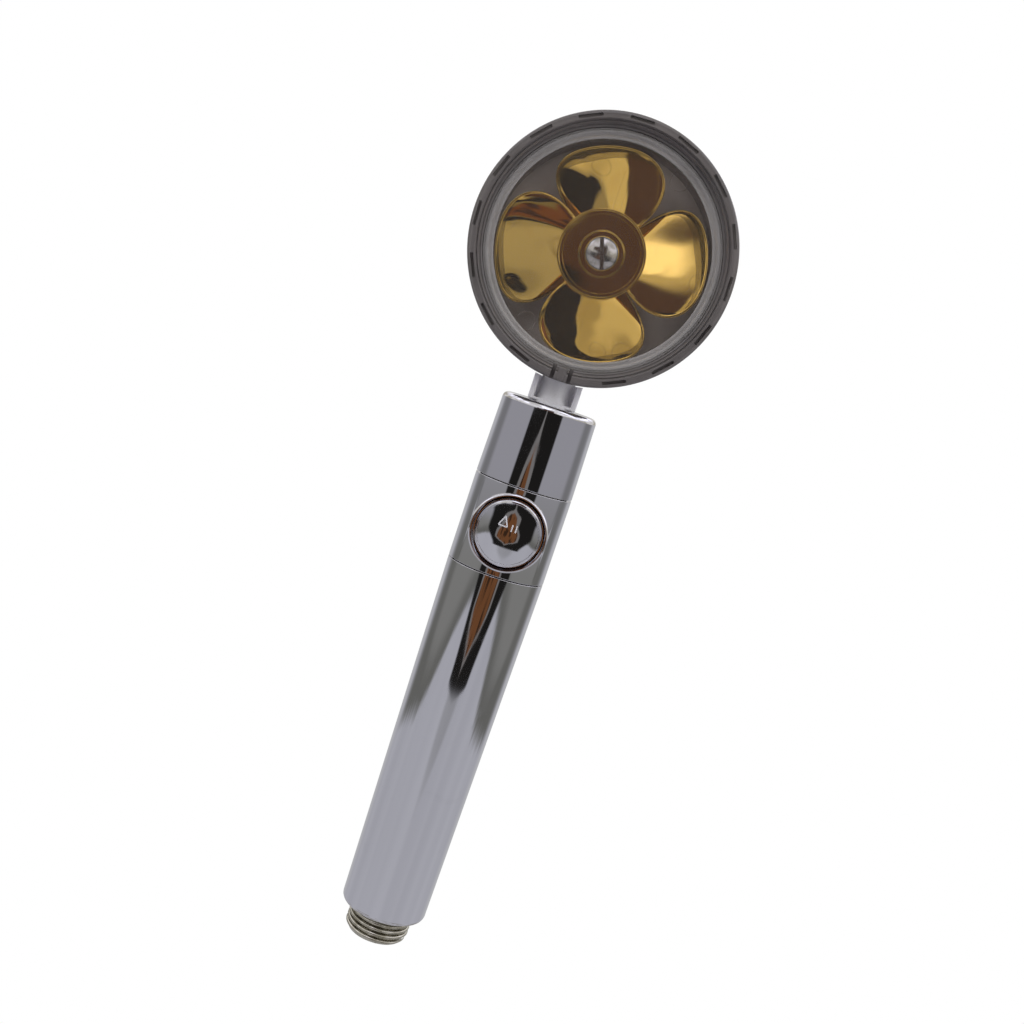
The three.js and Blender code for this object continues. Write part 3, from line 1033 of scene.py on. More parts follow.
class RimBead(ShapeTree):
    """A round bead along the open border of a sheet."""

    def __init__(self) -> None:
        """Builds the tree."""
        super().__init__("rim_bead", {"Thickness": "NodeSocketFloat"})
        graph = self.graph
        faces = graph.value("GeometryNodeInputMeshEdgeNeighbors")
        border = faces.math("LESS_THAN", 1.5)
        curve = graph.add(
            "GeometryNodeMeshToCurve", {"Mesh": self.given("Geometry"), "Selection": border}
        )
        section = graph.add(
            "GeometryNodeCurvePrimitiveCircle",
            {"Resolution": 10, "Radius": self.given("Thickness")},
        )
        inputs = {"Curve": curve.outputs[0], "Profile Curve": section.outputs[0]}
        self.close(graph.add("GeometryNodeCurveToMesh", inputs).outputs[0])


@dataclass
class Trees:
    """The geometry trees, built once."""

    around_head: AroundHead = field(default_factory=AroundHead)
    coil: Coil = field(default_factory=Coil)
    rim_bead: RimBead = field(default_factory=RimBead)


def height_of(node: str, high: bool = False) -> float:
    """The lowest or highest height of a node of the frame, in millimetres."""
    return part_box(node)[high].z / MM


def middle_of(node: str) -> float:
    """The height of the middle of a node of the frame, in millimetres."""
    return (height_of(node) + height_of(node, True)) / 2


# ------------------------------------------------------------------------- the handle
@dataclass
class HoseEnd:
    """The threaded fitting that the hose screws onto.

    Attributes:
        crest: Radius over the thread, in millimetres.
        root: Radius under it.
        pitch: Distance between its turns.
        bore: Radius of the waterway.
        first_ridge: Height of the lowest ridge.
        neck: Height where the thread ends.
        shoulder: Height of the flange's lower face.
        groove: Floor radius, lower and upper height of the seal's groove.
        wire: Radius of the ridge.
        taper: Share of the ridge over which each end thins out.
    """

    crest: float = 10.4775
    root: float = 9.3
    pitch: float = 1.814
    bore: float = 7.6
    first_ridge: float = 1.1
    neck: float = 8.75
    shoulder: float = 12.9
    groove: tuple[float, float, float] = (10.2, 18.6, 21.2)
    wire: float = 0.62
    taper: float = 0.16

    def build(self, shop: Workshop, trees: Trees) -> None:
        """Makes the fitting with its helical thread.

        Args:
            shop: Where the piece is finished.
            trees: The geometry trees.
        """
        top = height_of("hose_fitting", True)
        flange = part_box("hose_fitting")[1].x / MM
        floor, groove_low, groove_high = self.groove
        corners = [
            (self.bore, 0, 0.25),
            (self.root, 0, 0.45),
            (self.root, self.neck, 0.3),
            (self.crest, self.neck + 0.6, 0.2),
            (self.crest, self.shoulder, 0.1),
            (flange, self.shoulder, 0.2),
            (flange, groove_low, 0.1),
            (floor, groove_low, 0.1),
            (floor, groove_high, 0.1),
            (flange, groove_high, 0.1),
            (flange, top, 0.3),
            (8.6, top, 0.2),
            (8.6, 14, 0.2),
            (self.bore, 13, 0.2),
        ]
        piece = turned("hose_thread", corners, Axis.HANDLE, sides=CAP_SIDES)
        rise = self.neck - self.first_ridge - 0.4
        ridge = trees.coil.make(
            "thread_ridge",
            shop.materials[Slot.NICKEL],
            Radius=(self.crest - self.wire) * MM,
            Rise=rise * MM,
            Turns=rise / self.pitch,
            Wire=self.wire * MM,
            Taper=self.taper,
        )
        for vertex in ridge.data.vertices:
            vertex.co.z += self.first_ridge * MM
        merged(piece, ridge)
        shop.hand_in(piece, Slot.NICKEL, Body.HANDLE, ["hose_fitting"])


@dataclass
class Grip:
    """The long tapered tube.

    Attributes:
        end: Radius of its lower end, in millimetres.
        end_round: Rounding of that end.
        seam_round: Rounding of the seam at its top.
        mouth: Radius of the hole in its lower end.
        bore: Radius of its bore.
        counterbore: Radius of the bore's wide top.
        bore_ends: Heights between which the bore runs.
    """

    end: float = 14.05
    end_round: float = 2.0
    seam_round: float = 0.13
    mouth: float = 10.9
    bore: float = 11.8
    counterbore: float = 13.6
    bore_ends: Point = (12.5, 112.8)

    def build(self, shop: Workshop) -> None:
        """Makes the tube.

        Args:
            shop: Where the piece is finished.
        """
        low, high = height_of("grip_tube"), height_of("grip_tube", True)
        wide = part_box("grip_tube")[1].x / MM
        bottom, top = self.bore_ends
        corners = [
            (self.mouth, low, 0.25),
            (self.end, low, self.end_round),
            (wide, high, self.seam_round),
            (self.counterbore, high, 0.2),
            (self.counterbore, top, 0),
            (self.bore, top, 0),
            (self.bore, bottom, 0),
            (self.mouth, bottom, 0.1),
        ]
        piece = turned("grip", corners, Axis.HANDLE)
        shop.hand_in(piece, Slot.CHROME, Body.HANDLE, ["grip_tube"])


@dataclass
class ButtonCollar:
    """The short section that carries the stop button in a round bezel.

    Attributes:
        bore: Radius of its bore, in millimetres.
        bezel: Outer radius of the round bezel.
        mouth: Radius of the bezel's opening.
        lip: Radius of the hole behind it.
        counterbore: Radius of the hole's wide rear part.
        counterbore_face: Where that part starts, along the button's axis.
        seam_round: Rounding of the seams at both ends.
    """

    bore: float = 14.2
    bezel: float = 12.3
    mouth: float = 11.35
    lip: float = 10.65
    counterbore: float = 11.25
    counterbore_face: float = -13.5
    seam_round: float = 0.13

    def build(self, shop: Workshop) -> None:
        """Makes the collar with its bezel.

        Args:
            shop: Where the piece is finished.
        """
        low, high = height_of("button_collar"), height_of("button_collar", True)
        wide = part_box("button_collar")[1].x / MM
        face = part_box("button_collar")[0].y / MM
        button = (0, 0, middle_of("button_cap"))
        wall = [
            (wide, low, self.seam_round),
            (wide, high, self.seam_round),
            (self.bore, high, 0),
            (self.bore, low, 0),
        ]
        shell = turned("button_bezel", wall, Axis.HANDLE)
        swell = [(0, face, 0), (self.bezel - 0.25, face, 0.55), (self.bezel, -8, 0), (0, -8, 0)]
        boss = turned("boss", swell, Axis.HEAD, button, CAP_SIDES)
        ends = (low - 9, high + 9)
        combine(boss, rod("hollow", self.bore, ends, Axis.HANDLE, sides=TUBE_SIDES))
        combine(shell, boss, operation="UNION")
        funnel = [
            (0, face - 1, 0),
            (self.mouth, face - 1, 0),
            (self.mouth, face + 0.15, 0.1),
            (self.lip, face + 1.6, 0.1),
            (self.lip, self.counterbore_face, 0),
            (self.counterbore, self.counterbore_face, 0),
            (self.counterbore, 0, 0),
            (0, 0, 0),
        ]
        combine(shell, turned("hole", funnel, Axis.HEAD, button, CAP_SIDES))
        shop.hand_in(shell, Slot.CHROME, Body.HANDLE, ["button_collar"], crease=40)


@dataclass
class StopButton:
    """The cap, whose face is bowed like the handle, its mark and the coil under it.

    Attributes:
        wide: The cap's radius, in millimetres.
        sides: Number of its sides.
        face_wide: Radius of its bowed face.
        bow: The face's radius of curvature from side to side.
        crown: The same from bottom to top.
        apex: Where the face stands highest, from its middle.
        rim_depth: Depth of the part that is bowed with the face.
        stroke: Width of the mark's lines.
        pieces: Number of lengths in each line.
        raised: How far the lines stand proud.
        sunk: How deep they reach into the cap.
        wire: The spring wire's radius.
        coil: The spring's radius.
        turns: Its number of turns.
    """

    wide: float = 10.3
    sides: int = 144
    face_wide: float = 9.1
    bow: float = 22.0
    crown: float = 92.0
    apex: Point = (0.6, 2.6)
    rim_depth: float = 1.2
    stroke: float = 0.42
    pieces: int = 6
    raised: float = 0.02
    sunk: float = 0.25
    wire: float = 0.42
    coil: float = 7.4
    turns: float = 4.5

    def build(self, shop: Workshop, trees: Trees) -> None:
        """Makes the cap with its plain mark, and the spring.

        Args:
            shop: Where the pieces are finished.
            trees: The geometry trees.
        """
        low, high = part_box("button_cap")
        self.centre = Vector((0, 0, middle_of("button_cap")))
        self.face, self.back = low.y / MM, high.y / MM
        self._cap(shop)
        self._mark(shop)
        self._spring(shop, trees)

    def _fall(self, x: float, z: float) -> float:
        """How far the bowed face lies behind its apex, at a place from the cap's middle."""
        side, up = x - self.apex[0], z - self.apex[1]
        return side**2 / (2 * self.bow) + up**2 / (2 * self.crown)

    def _cap(self, shop: Workshop) -> None:
        """Makes the cap: a bowed face inside a fine groove and a rounded rim.

        Args:
            shop: Where the cap is finished.
        """
        face, wide, rings = self.face, self.wide, 16
        front = [(self.face_wide * ring / rings, face) for ring in range(rings + 1)]
        side = rounded(
            [
                (9.12, face + 0.22, 0.04),
                (9.36, face + 0.22, 0.04),
                (9.38, face + 0.02, 0.1),
                (wide - 0.02, face + 0.05, 0.55),
                (wide, -13.2, 0.1),
                (wide + 0.65, -13.2, 0.1),
                (wide + 0.65, -12.6, 0.1),
                (9.1, -12.6, 0.1),
                (9.1, -15, 0.3),
                (4.6, -15, 0.3),
                (4.6, self.back, 0.1),
                (2.8, self.back, 0.1),
                (2.8, -15.3, 0),
                (0, -15.3, 0),
            ]
        )
        piece = revolve("button", front + side, Axis.HEAD, self.centre, self.sides)
        for vertex in piece.data.vertices:
            if vertex.co.y < (face + self.rim_depth) * MM:
                x, z = vertex.co.x / MM, vertex.co.z / MM - self.centre.z
                vertex.co.y += self._fall(x, z) * MM
        shop.hand_in(piece, Slot.CHROME, Body.BUTTON, ["button_cap"])

    def _mark(self, shop: Workshop) -> None:
        """Makes the mark: a triangle's outline beside two short bars.

        Args:
            shop: Where the mark is finished.
        """
        left, right, tip = (-3.6, 2.0), (-0.8, 2.0), (-2.2, 5.1)
        lines = [(left, right), (right, tip), (tip, left)]
        lines += [((x, 1.0), (x, 3.2)) for x in (0.7, 2.0)]
        work = bmesh.new()
        for start, end in lines:
            along = Vector(end) - Vector(start)
            side = Vector((-along.y, along.x)).normalized() * self.stroke / 2
            section = ((side, self.sunk), (side, -self.raised), (-side, -self.raised))
            section += ((-side, self.sunk),)
            rows = []
            for step in range(self.pieces + 1):
                at = Vector(start) + along * step / self.pieces
                row = []
                for shift, depth in section:
                    x, z = at + shift
                    place = Vector((x, self.face + self._fall(x, z) + depth, z))
                    row.append(work.verts.new((place + self.centre) * MM))
                rows.append(row)
            work.faces.new(rows[0])
            work.faces.new(rows[-1][::-1])
            for one, two in zip(rows, rows[1:]):
                for i in range(4):
                    work.faces.new((one[i], one[i - 1], two[i - 1], two[i]))
        piece = from_bmesh("button_mark", work)
        shop.hand_in(piece, Slot.FROST, Body.BUTTON)

    def _spring(self, shop: Workshop, trees: Trees) -> None:
        """Makes the coil. The share of its length left at the button's full travel is worked out,
        but nothing shortens the coil.

        Args:
            shop: Where the coil is finished.
            trees: The geometry trees.
        """
        low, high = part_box("button_spring")
        front, back = low.y / MM + self.wire, high.y / MM - self.wire
        piece = trees.coil.make(
            "return_spring",
            shop.materials[Slot.STEEL],
            Radius=self.coil * MM,
            Rise=(back - front) * MM,
            Turns=self.turns,
            Wire=self.wire * MM,
            Taper=0.01,
        )
        turn = Matrix.Rotation(-math.pi / 2, 4, "X")
        place = Matrix.Translation(Vector((0, front, middle_of("button_cap"))) * MM)
        piece.data.transform(place @ turn)
        shop.hand_in(piece, Slot.STEEL, Body.HANDLE, ["button_spring"])
        travel = next(j for j in frame["joints"] if j["name"] == "button_press")["range_m"][1]
        length = (back - front) * MM
        keep = (length - travel) / length
        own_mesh(piece)


@dataclass
class TopSleeve:
    """The plated sleeve that the neck turns in.

    Attributes:
        top: Radius of its upper end, in millimetres.
        end_round: Rounding of that end.
        seam_round: Rounding of the seam at its bottom.
        mouth: Radius of the hole that the neck comes out of.
        roof: Thickness of its top.
        bore: Radius of the bore where it starts and at the roof.
        bore_start: Height where the bore starts.
    """

    top: float = 15.1
    end_round: float = 1.7
    seam_round: float = 0.13
    mouth: float = 7.7
    roof: float = 2.2
    bore: Point = (13.6, 13.4)
    bore_start: float = 170.9

    def build(self, shop: Workshop) -> None:
        """Makes the sleeve.

        Args:
            shop: Where the piece is finished.
        """
        low, high = height_of("top_sleeve"), height_of("top_sleeve", True)
        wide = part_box("top_sleeve")[1].x / MM
        corners = [
            (14.2, low, 0),
            (wide, low, self.seam_round),
            (self.top, high, self.end_round),
            (self.mouth, high, 0.35),
            (self.mouth, high - self.roof, 0),
            (self.bore[1], high - self.roof, 0),
            (self.bore[0], self.bore_start, 0),
        ]
        piece = turned("swivel_sleeve", corners, Axis.HANDLE)
        shop.hand_in(piece, Slot.CHROME, Body.HANDLE, ["top_sleeve"])


@dataclass
class Neck:
    """The pale neck: a stem that turns in the sleeve under a block hollowed front and back.

    Attributes:
        width: Width of the block, in millimetres.
        depth: Its depth.
        cheek: Thickness of the cheeks at its sides.
        stem: Radius of the stem.
        bore: Radius of the waterway.
        spigot: Radius of the part that goes into the drum.
        stem_sides: Number of sides of the stem.
        seal_groove: Floor radius and half width of the seals' grooves.
        clip_groove: The same of the clip's groove.
        web: Half the thickness of the web between the cheeks.
        edge: Rounding of the block's edges.
    """

    width: float = 15.2
    depth: float = 12.0
    cheek: float = 1.7
    stem: float = 7.3
    bore: float = 3.8
    spigot: float = 5.35
    stem_sides: int = 96
    seal_groove: Point = (5.9, 1.1)
    clip_groove: Point = (6.2, 0.8)
    web: float = 2.2
    edge: float = 0.3

    def build(self, shop: Workshop) -> None:
        """Makes the neck.

        Args:
            shop: Where the piece is finished.
        """
        low, high = height_of("swivel_neck"), height_of("swivel_neck", True)
        sleeve = height_of("top_sleeve", True)
        clip = middle_of("retaining_clip")
        seals = [middle_of(f"stem_seal_{i}") for i in (1, 2)]
        head = middle_of("head_body")
        head_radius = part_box("bezel_ring")[1].x / MM
        grooves = [(seal, *self.seal_groove) for seal in seals] + [(clip, *self.clip_groove)]
        corners = [(0, low, 0), (self.stem, low, 0.4)]
        for groove, floor, half in grooves:
            corners += [
                (self.stem, groove - half, 0.1),
                (floor, groove - half, 0.1),
                (floor, groove + half, 0.1),
                (self.stem, groove + half, 0.1),
            ]
        corners += [
            (self.stem, sleeve + 0.6, 0),
            (self.spigot, sleeve + 0.6, 0),
            (self.spigot, high, 0.3),
            (0, high, 0),
        ]
        piece = turned("neck", corners, Axis.HANDLE, sides=self.stem_sides)
        block = self._block(sleeve + 0.3, head - head_radius + 1.2)
        round_head = (0, 0, head)
        saddle = rod("saddle", head_radius + 0.4, (-20, 20), Axis.HEAD, round_head, DRUM_SIDES)
        combine(block, saddle)
        combine(piece, block, operation="UNION")
        combine(piece, rod("hole", self.bore, (low - 1, high + 1), Axis.HANDLE))
        shop.hand_in(piece, Slot.FROST, Body.HEAD, ["swivel_neck"], crease=25)

    def _block(self, low: float, high: float) -> bpy.types.Object:
        """The part between the sleeve and the head: two cheeks and a web round a flared tube.

        Args:
            low: Its lower height, in millimetres.
            high: Its upper height.

        Returns:
            The block.
        """
        x, y = self.width / 2, self.depth / 2
        flare = [
            (0, low + 0.2, 0),
            (5.9, low + 0.2, 0),
            (5.9, low + 1.0, 0.3),
            (4.0, high - 2.2, 1.5),
            (4.0, high + 6, 0),
            (0, high + 6, 0),
        ]
        tube = turned("flare", flare, Axis.HANDLE, sides=BORE_SIDES)
        foot = softened(box_piece("foot", (-x, -y, low), (x, y, low + 0.9)), self.edge, 3)
        web_low = (-x + 0.4, -self.web, low + 0.4)
        web = box_piece("web", web_low, (x - 0.4, self.web, high + 2))
        cheeks = []
        for side in (-1, 1):
            inner, outer = sorted((side * (x - self.cheek), side * x))
            cheek = box_piece("cheek", (inner, -y, low + 0.3), (outer, y, high + 2))
            cheeks.append(softened(cheek, self.edge, 3))
        return combine(tube, foot, web, *cheeks, operation="UNION")


# ------------------------------------------------------------------------- the head
@dataclass
class Head:
    """The drum, its two slotted rings, the window and the spray plate.

    Attributes:
        drum: The drum's outside radius, in millimetres.
        chamber: Its inside radius.
        thread: Radius of the threads that the rings screw onto.
        overlap: How far the rings stand out from the threads' radius.
        band: Half the width of the drum between its threads.
        lips: How far its two ends reach from its middle, in front and behind.
        seat: Inner radius of the rings.
        window_face: Place of the window's face along the head's axis.
        disc: Radius of the window and of the spray plate.
        slots: Number of grip slots in a ring; one more place, over the neck, has none.
        first_slot: Angle of the first slot, in degrees from +X towards +Z.
        slot_depth: Depth of the slots.
        slot_reach: Inner and outer radius of the slots.
        slot_half: Half the length of a slot.
        notches: Distance of the two notches from the middle of the front ring.
        rib: Half the width of the window's fine ribs.
        ribs: Their distance from its middle.
        pads: Number of moulding marks on the window.
        nozzle_rings: Radius and number of nozzles of each ring of the spray plate.
    """

    drum: float = 39.3
    chamber: float = 33.8
    thread: float = 37.4
    overlap: float = 0.4
    band: float = 6.0
    lips: Point = (8.5, 11.0)
    seat: float = 35.4
    window_face: float = -10.5
    disc: float = 36.8
    slots: int = 15
    first_slot: float = -66.0
    slot_depth: float = 1.3
    slot_reach: Point = (37.85, 38.75)
    slot_half: float = 3.6
    notches: float = 2.6
    rib: float = 0.08
    ribs: float = 1.05
    pads: int = 6
    nozzle_rings: tuple[tuple[float, int], ...] = ((12, 8), (18, 12), (24, 16), (30, 20))

    def __post_init__(self) -> None:
        """Reads the head's centre and faces from the frame."""
        self.height = middle_of("head_body")
        self.centre = (0.0, 0.0, self.height)
        self.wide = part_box("bezel_ring")[1].x / MM
        self.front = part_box("bezel_ring")[0].y / MM
        self.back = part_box("rear_ring")[1].y / MM
        self.plate_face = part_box("spray_plate")[1].y / MM

    def build(self, shop: Workshop, trees: Trees) -> None:
        """Makes every piece of the head.

        Args:
            shop: Where the pieces are finished.
            trees: The geometry trees.
        """
        self._drum(shop)
        self._bezel(shop, trees)
        self._rear_ring(shop, trees)
        self._window(shop, trees)
        self._spray_plate(shop, trees)

    def _around(
        self,
        shop: Workshop,
        trees: Trees,
        item: bpy.types.Object,
        count: int,
        start: float = 0.0,
        missing: int = 0,
    ) -> bpy.types.Object:
        """Copies of an item round the head's axis.

        Args:
            shop: Where its material comes from.
            trees: The geometry trees.
            item: The item, made at its own radius from the origin; it is removed.
            count: Number of copies.
            start: Angle of the first, in degrees from +X towards +Z.
            missing: Number of places left empty after the last.

        Returns:
            The copies as one mesh.
        """
        made = trees.around_head.make(
            item.name + "s",
            shop.materials[Slot.SMOKE],
            Item=item,
            Count=count,
            Radius=0.0,
            Start=math.radians(start),
            Step=2 * math.pi / (count + missing),
            Centre=Vector(self.centre) * MM,
        )
        bpy.data.objects.remove(item)
        return made

    def _drum(self, shop: Workshop) -> None:
        """Makes the body between the two rings.

        Args:
            shop: Where the piece is finished.
        """

        def end(side: int, lip: float) -> list[Corner]:
            """Works out one end of the section.

            Args:
                side: -1 in front, 1 behind.
                lip: How far it reaches from the drum's middle, in millimetres.

            Returns:
                The corners, from the inside out.
            """
            corners = [
                (self.chamber, lip, 0.4),
                (34.9, lip, 0.1),
                (34.9, lip - 1.2, 0.1),
                (36.5, lip - 1.2, 0.1),
                (36.5, lip, 0.1),
                (self.thread, lip, 0.2),
                (self.thread, self.band, 0.1),
                (self.drum, self.band, 0.35),
            ]
            return [(r, h * side, f) for r, h, f in corners]

        corners = end(-1, self.lips[0]) + end(1, self.lips[1])[::-1]
        piece = turned("drum", corners, Axis.HEAD, self.centre, DRUM_SIDES)
        combine(piece, rod("socket", 5.7, (-50, -30), Axis.HANDLE, self.centre))
        # The drum wears the lighter smoky copy, whose extra brightness is painted light.
        shop.hand_in(piece, Slot.SMOKE, Body.HEAD, ["head_body"], material=shop.drum_smoke_painted_light)

    def _slot_cutters(self, shop: Workshop, trees: Trees, face: float) -> bpy.types.Object:
        """Cutters of the grip slots in a ring's face.

        Args:
            shop: Where their material comes from.
            trees: The geometry trees.
            face: The ring's outside face, in millimetres along the head's axis.

        Returns:
            The cutters as one mesh.
        """
        inner, outer = self.slot_reach
        low = (inner, face - self.slot_depth, -self.slot_half)
        high = (outer, face + self.slot_depth, self.slot_half)
        cutter = softened(box_piece("slot", low, high), 0.2)
        return self._around(shop, trees, cutter, self.slots, self.first_slot, missing=1)

    def _bezel(self, shop: Workshop, trees: Trees) -> None:
        """Makes the front ring, stepped down to the window, with the two notches over the neck.

        Args:
            shop: Where the piece is finished.
            trees: The geometry trees.
        """
        front, seat = self.front, self.window_face - 0.3
        skirt = self.thread + self.overlap
        corners = [
            (37.35, front, 0.25),
            (self.wide, front, 1.1),
            (self.wide, -self.band - 0.4, 0.3),
            (skirt, -self.band - 0.4, 0),
            (skirt, seat, 0),
            (self.seat, seat, 0.2),
            (self.seat, seat - 0.5, 0.2),
            (35.9, seat - 0.9, 0.3),
            (36.15, seat - 0.7, 0.1),
            (36.3, front + 1.6, 0.5),
            (36.75, front + 0.7, 0.4),
            (37.05, front + 1.3, 0.1),
        ]
        piece = turned("bezel", corners, Axis.HEAD, self.centre, DRUM_SIDES)
        tongue = turned(
            "tongue",
            [(0, -39.6, 0), (1.5, -39.6, 0.9), (1.5, -35.6, 0.4), (0, -35.6, 0)],
            Axis.HANDLE,
            (0, front + 1.15, self.height),
            48,
        )
        combine(piece, tongue, operation="UNION")
        tools = [self._slot_cutters(shop, trees, front)]
        for x in (-self.notches, self.notches):
            low = (x - 0.6, front - 1, self.height - 41)
            tools.append(box_piece("notch", low, (x + 0.6, front + 3.2, self.height - 35)))
        combine(piece, *tools)
        shop.hand_in(piece, Slot.SMOKE, Body.HEAD, ["bezel_ring"])

    def _rear_ring(self, shop: Workshop, trees: Trees) -> None:
        """Makes the ring that holds the spray plate.

        Args:
            shop: Where the piece is finished.
            trees: The geometry trees.
        """
        back, seat = self.back, self.plate_face + 0.3
        skirt = self.thread + self.overlap
        corners = [
            (self.seat, back, 0.4),
            (self.wide, back, 1.2),
            (self.wide, self.band + 0.4, 0.3),
            (skirt, self.band + 0.4, 0),
            (skirt, seat, 0),
            (self.seat, seat, 0.1),
        ]
        piece = turned("spray_ring", corners, Axis.HEAD, self.centre, DRUM_SIDES)
        combine(piece, self._slot_cutters(shop, trees, back))
        shop.hand_in(piece, Slot.SMOKE, Body.HEAD, ["rear_ring"])

    def _window(self, shop: Workshop, trees: Trees) -> None:
        """Makes the clear disc, and on it the raised rim, moulding marks and two fine ribs.

        Args:
            shop: Where the piece is finished.
            trees: The geometry trees.
        """
        face = self.window_face
        back = face + 1.7
        disc = [(0, face, 0), (self.disc, face, 0.1), (self.disc, back, 0.1), (0, back, 0)]
        piece = turned("window", disc, Axis.HEAD, self.centre)
        marks = self._around(shop, trees, self._ring("pad", 3.0, 0.3, (30.0, 0, 0)), self.pads)
        spot = self._ring("spot", 2.3, 0.22, (9.6, 0, self.height - 1.2))
        ribs = []
        for x in (-self.ribs, self.ribs):
            low = (x - self.rib, face - 0.08, self.height - 24)
            ribs.append(box_piece("rib", low, (x + self.rib, face - 0.01, self.height + 24)))
        merged(piece, marks, spot, *ribs)
        shop.hand_in(piece, Slot.CLEAR, Body.HEAD, ["front_window"])
        rim = [
            (32.2, face - 0.02, 0),
            (32.4, face - 0.3, 0.1),
            (32.9, face - 0.3, 0.1),
            (33.15, face - 0.12, 0.1),
            (33.6, face - 0.12, 0.1),
            (33.85, face - 0.95, 0.25),
            (34.55, face - 0.95, 0.25),
            (34.8, face - 0.2, 0.15),
            (35.3, face - 0.2, 0.1),
            (35.3, face - 0.02, 0),
        ]
        piece = turned("window_rim", rim, Axis.HEAD, self.centre)
        # The rim wears the lighter clear copy, whose extra brightness is painted light.
        shop.hand_in(piece, Slot.CLEAR, Body.HEAD, material=shop.rim_clear_painted_light)

    def _ring(
        self, name: str, radius: float, wide: float, place: Sequence[float]
    ) -> bpy.types.Object:
        """A fine raised circle on the window's face, where a moulding pin stood.

        Args:
            name: Its name.
            radius: Its outer radius, in millimetres.
            wide: Width of its line.
            place: Its centre.

        Returns:
            The circle.
        """
        face = self.window_face
        section = [
            (radius - wide, face - 0.02, 0),
            (radius - wide, face - 0.12, 0.04),
            (radius, face - 0.12, 0.04),
            (radius, face - 0.02, 0),
        ]
        return turned(name, section, Axis.HEAD, place, 40)

    def _spray_plate(self, shop: Workshop, trees: Trees) -> None:
        """Makes the plate with its rings of raised nozzles.

        Args:
            shop: Where the piece is finished.
            trees: The geometry trees.
        """
        face = self.plate_face
        corners = [
            (0, 12, 0),
            (2.9, 12, 0),
            (2.9, 7, 0.1),
            (5.5, 7, 0.3),
            (5.5, 11.3, 0.4),
            (self.disc, 11.3, 0.1),
            (self.disc, face, 0.1),
            (34.2, face, 0.2),
            (33.8, face - 0.4, 0.2),
            (33.0, face - 0.4, 0.2),
            (32.6, face, 0.2),
            (7.2, face, 0.2),
            (6.8, face - 0.4, 0.2),
            (6.2, face - 0.4, 0.2),
            (5.8, face, 0.2),
            (0, face + 0.5, 0),
        ]
        piece = turned("spray_face", corners, Axis.HEAD, self.centre)
        jet = [
            (0.35, face + 0.3, 0),
            (0.35, face + 1.05, 0.05),
            (0.75, face + 1.05, 0.12),
            (1.15, face - 0.2, 0),
            (0, face - 0.2, 0),
            (0, face + 0.3, 0),
        ]
        for radius, count in self.nozzle_rings:
            nozzle = turned("nozzle", jet, Axis.HEAD, (radius, 0, 0), 14)
            merged(piece, self._around(shop, trees, nozzle, count))
        shop.hand_in(piece, Slot.GREY, Body.HEAD, ["spray_plate"])


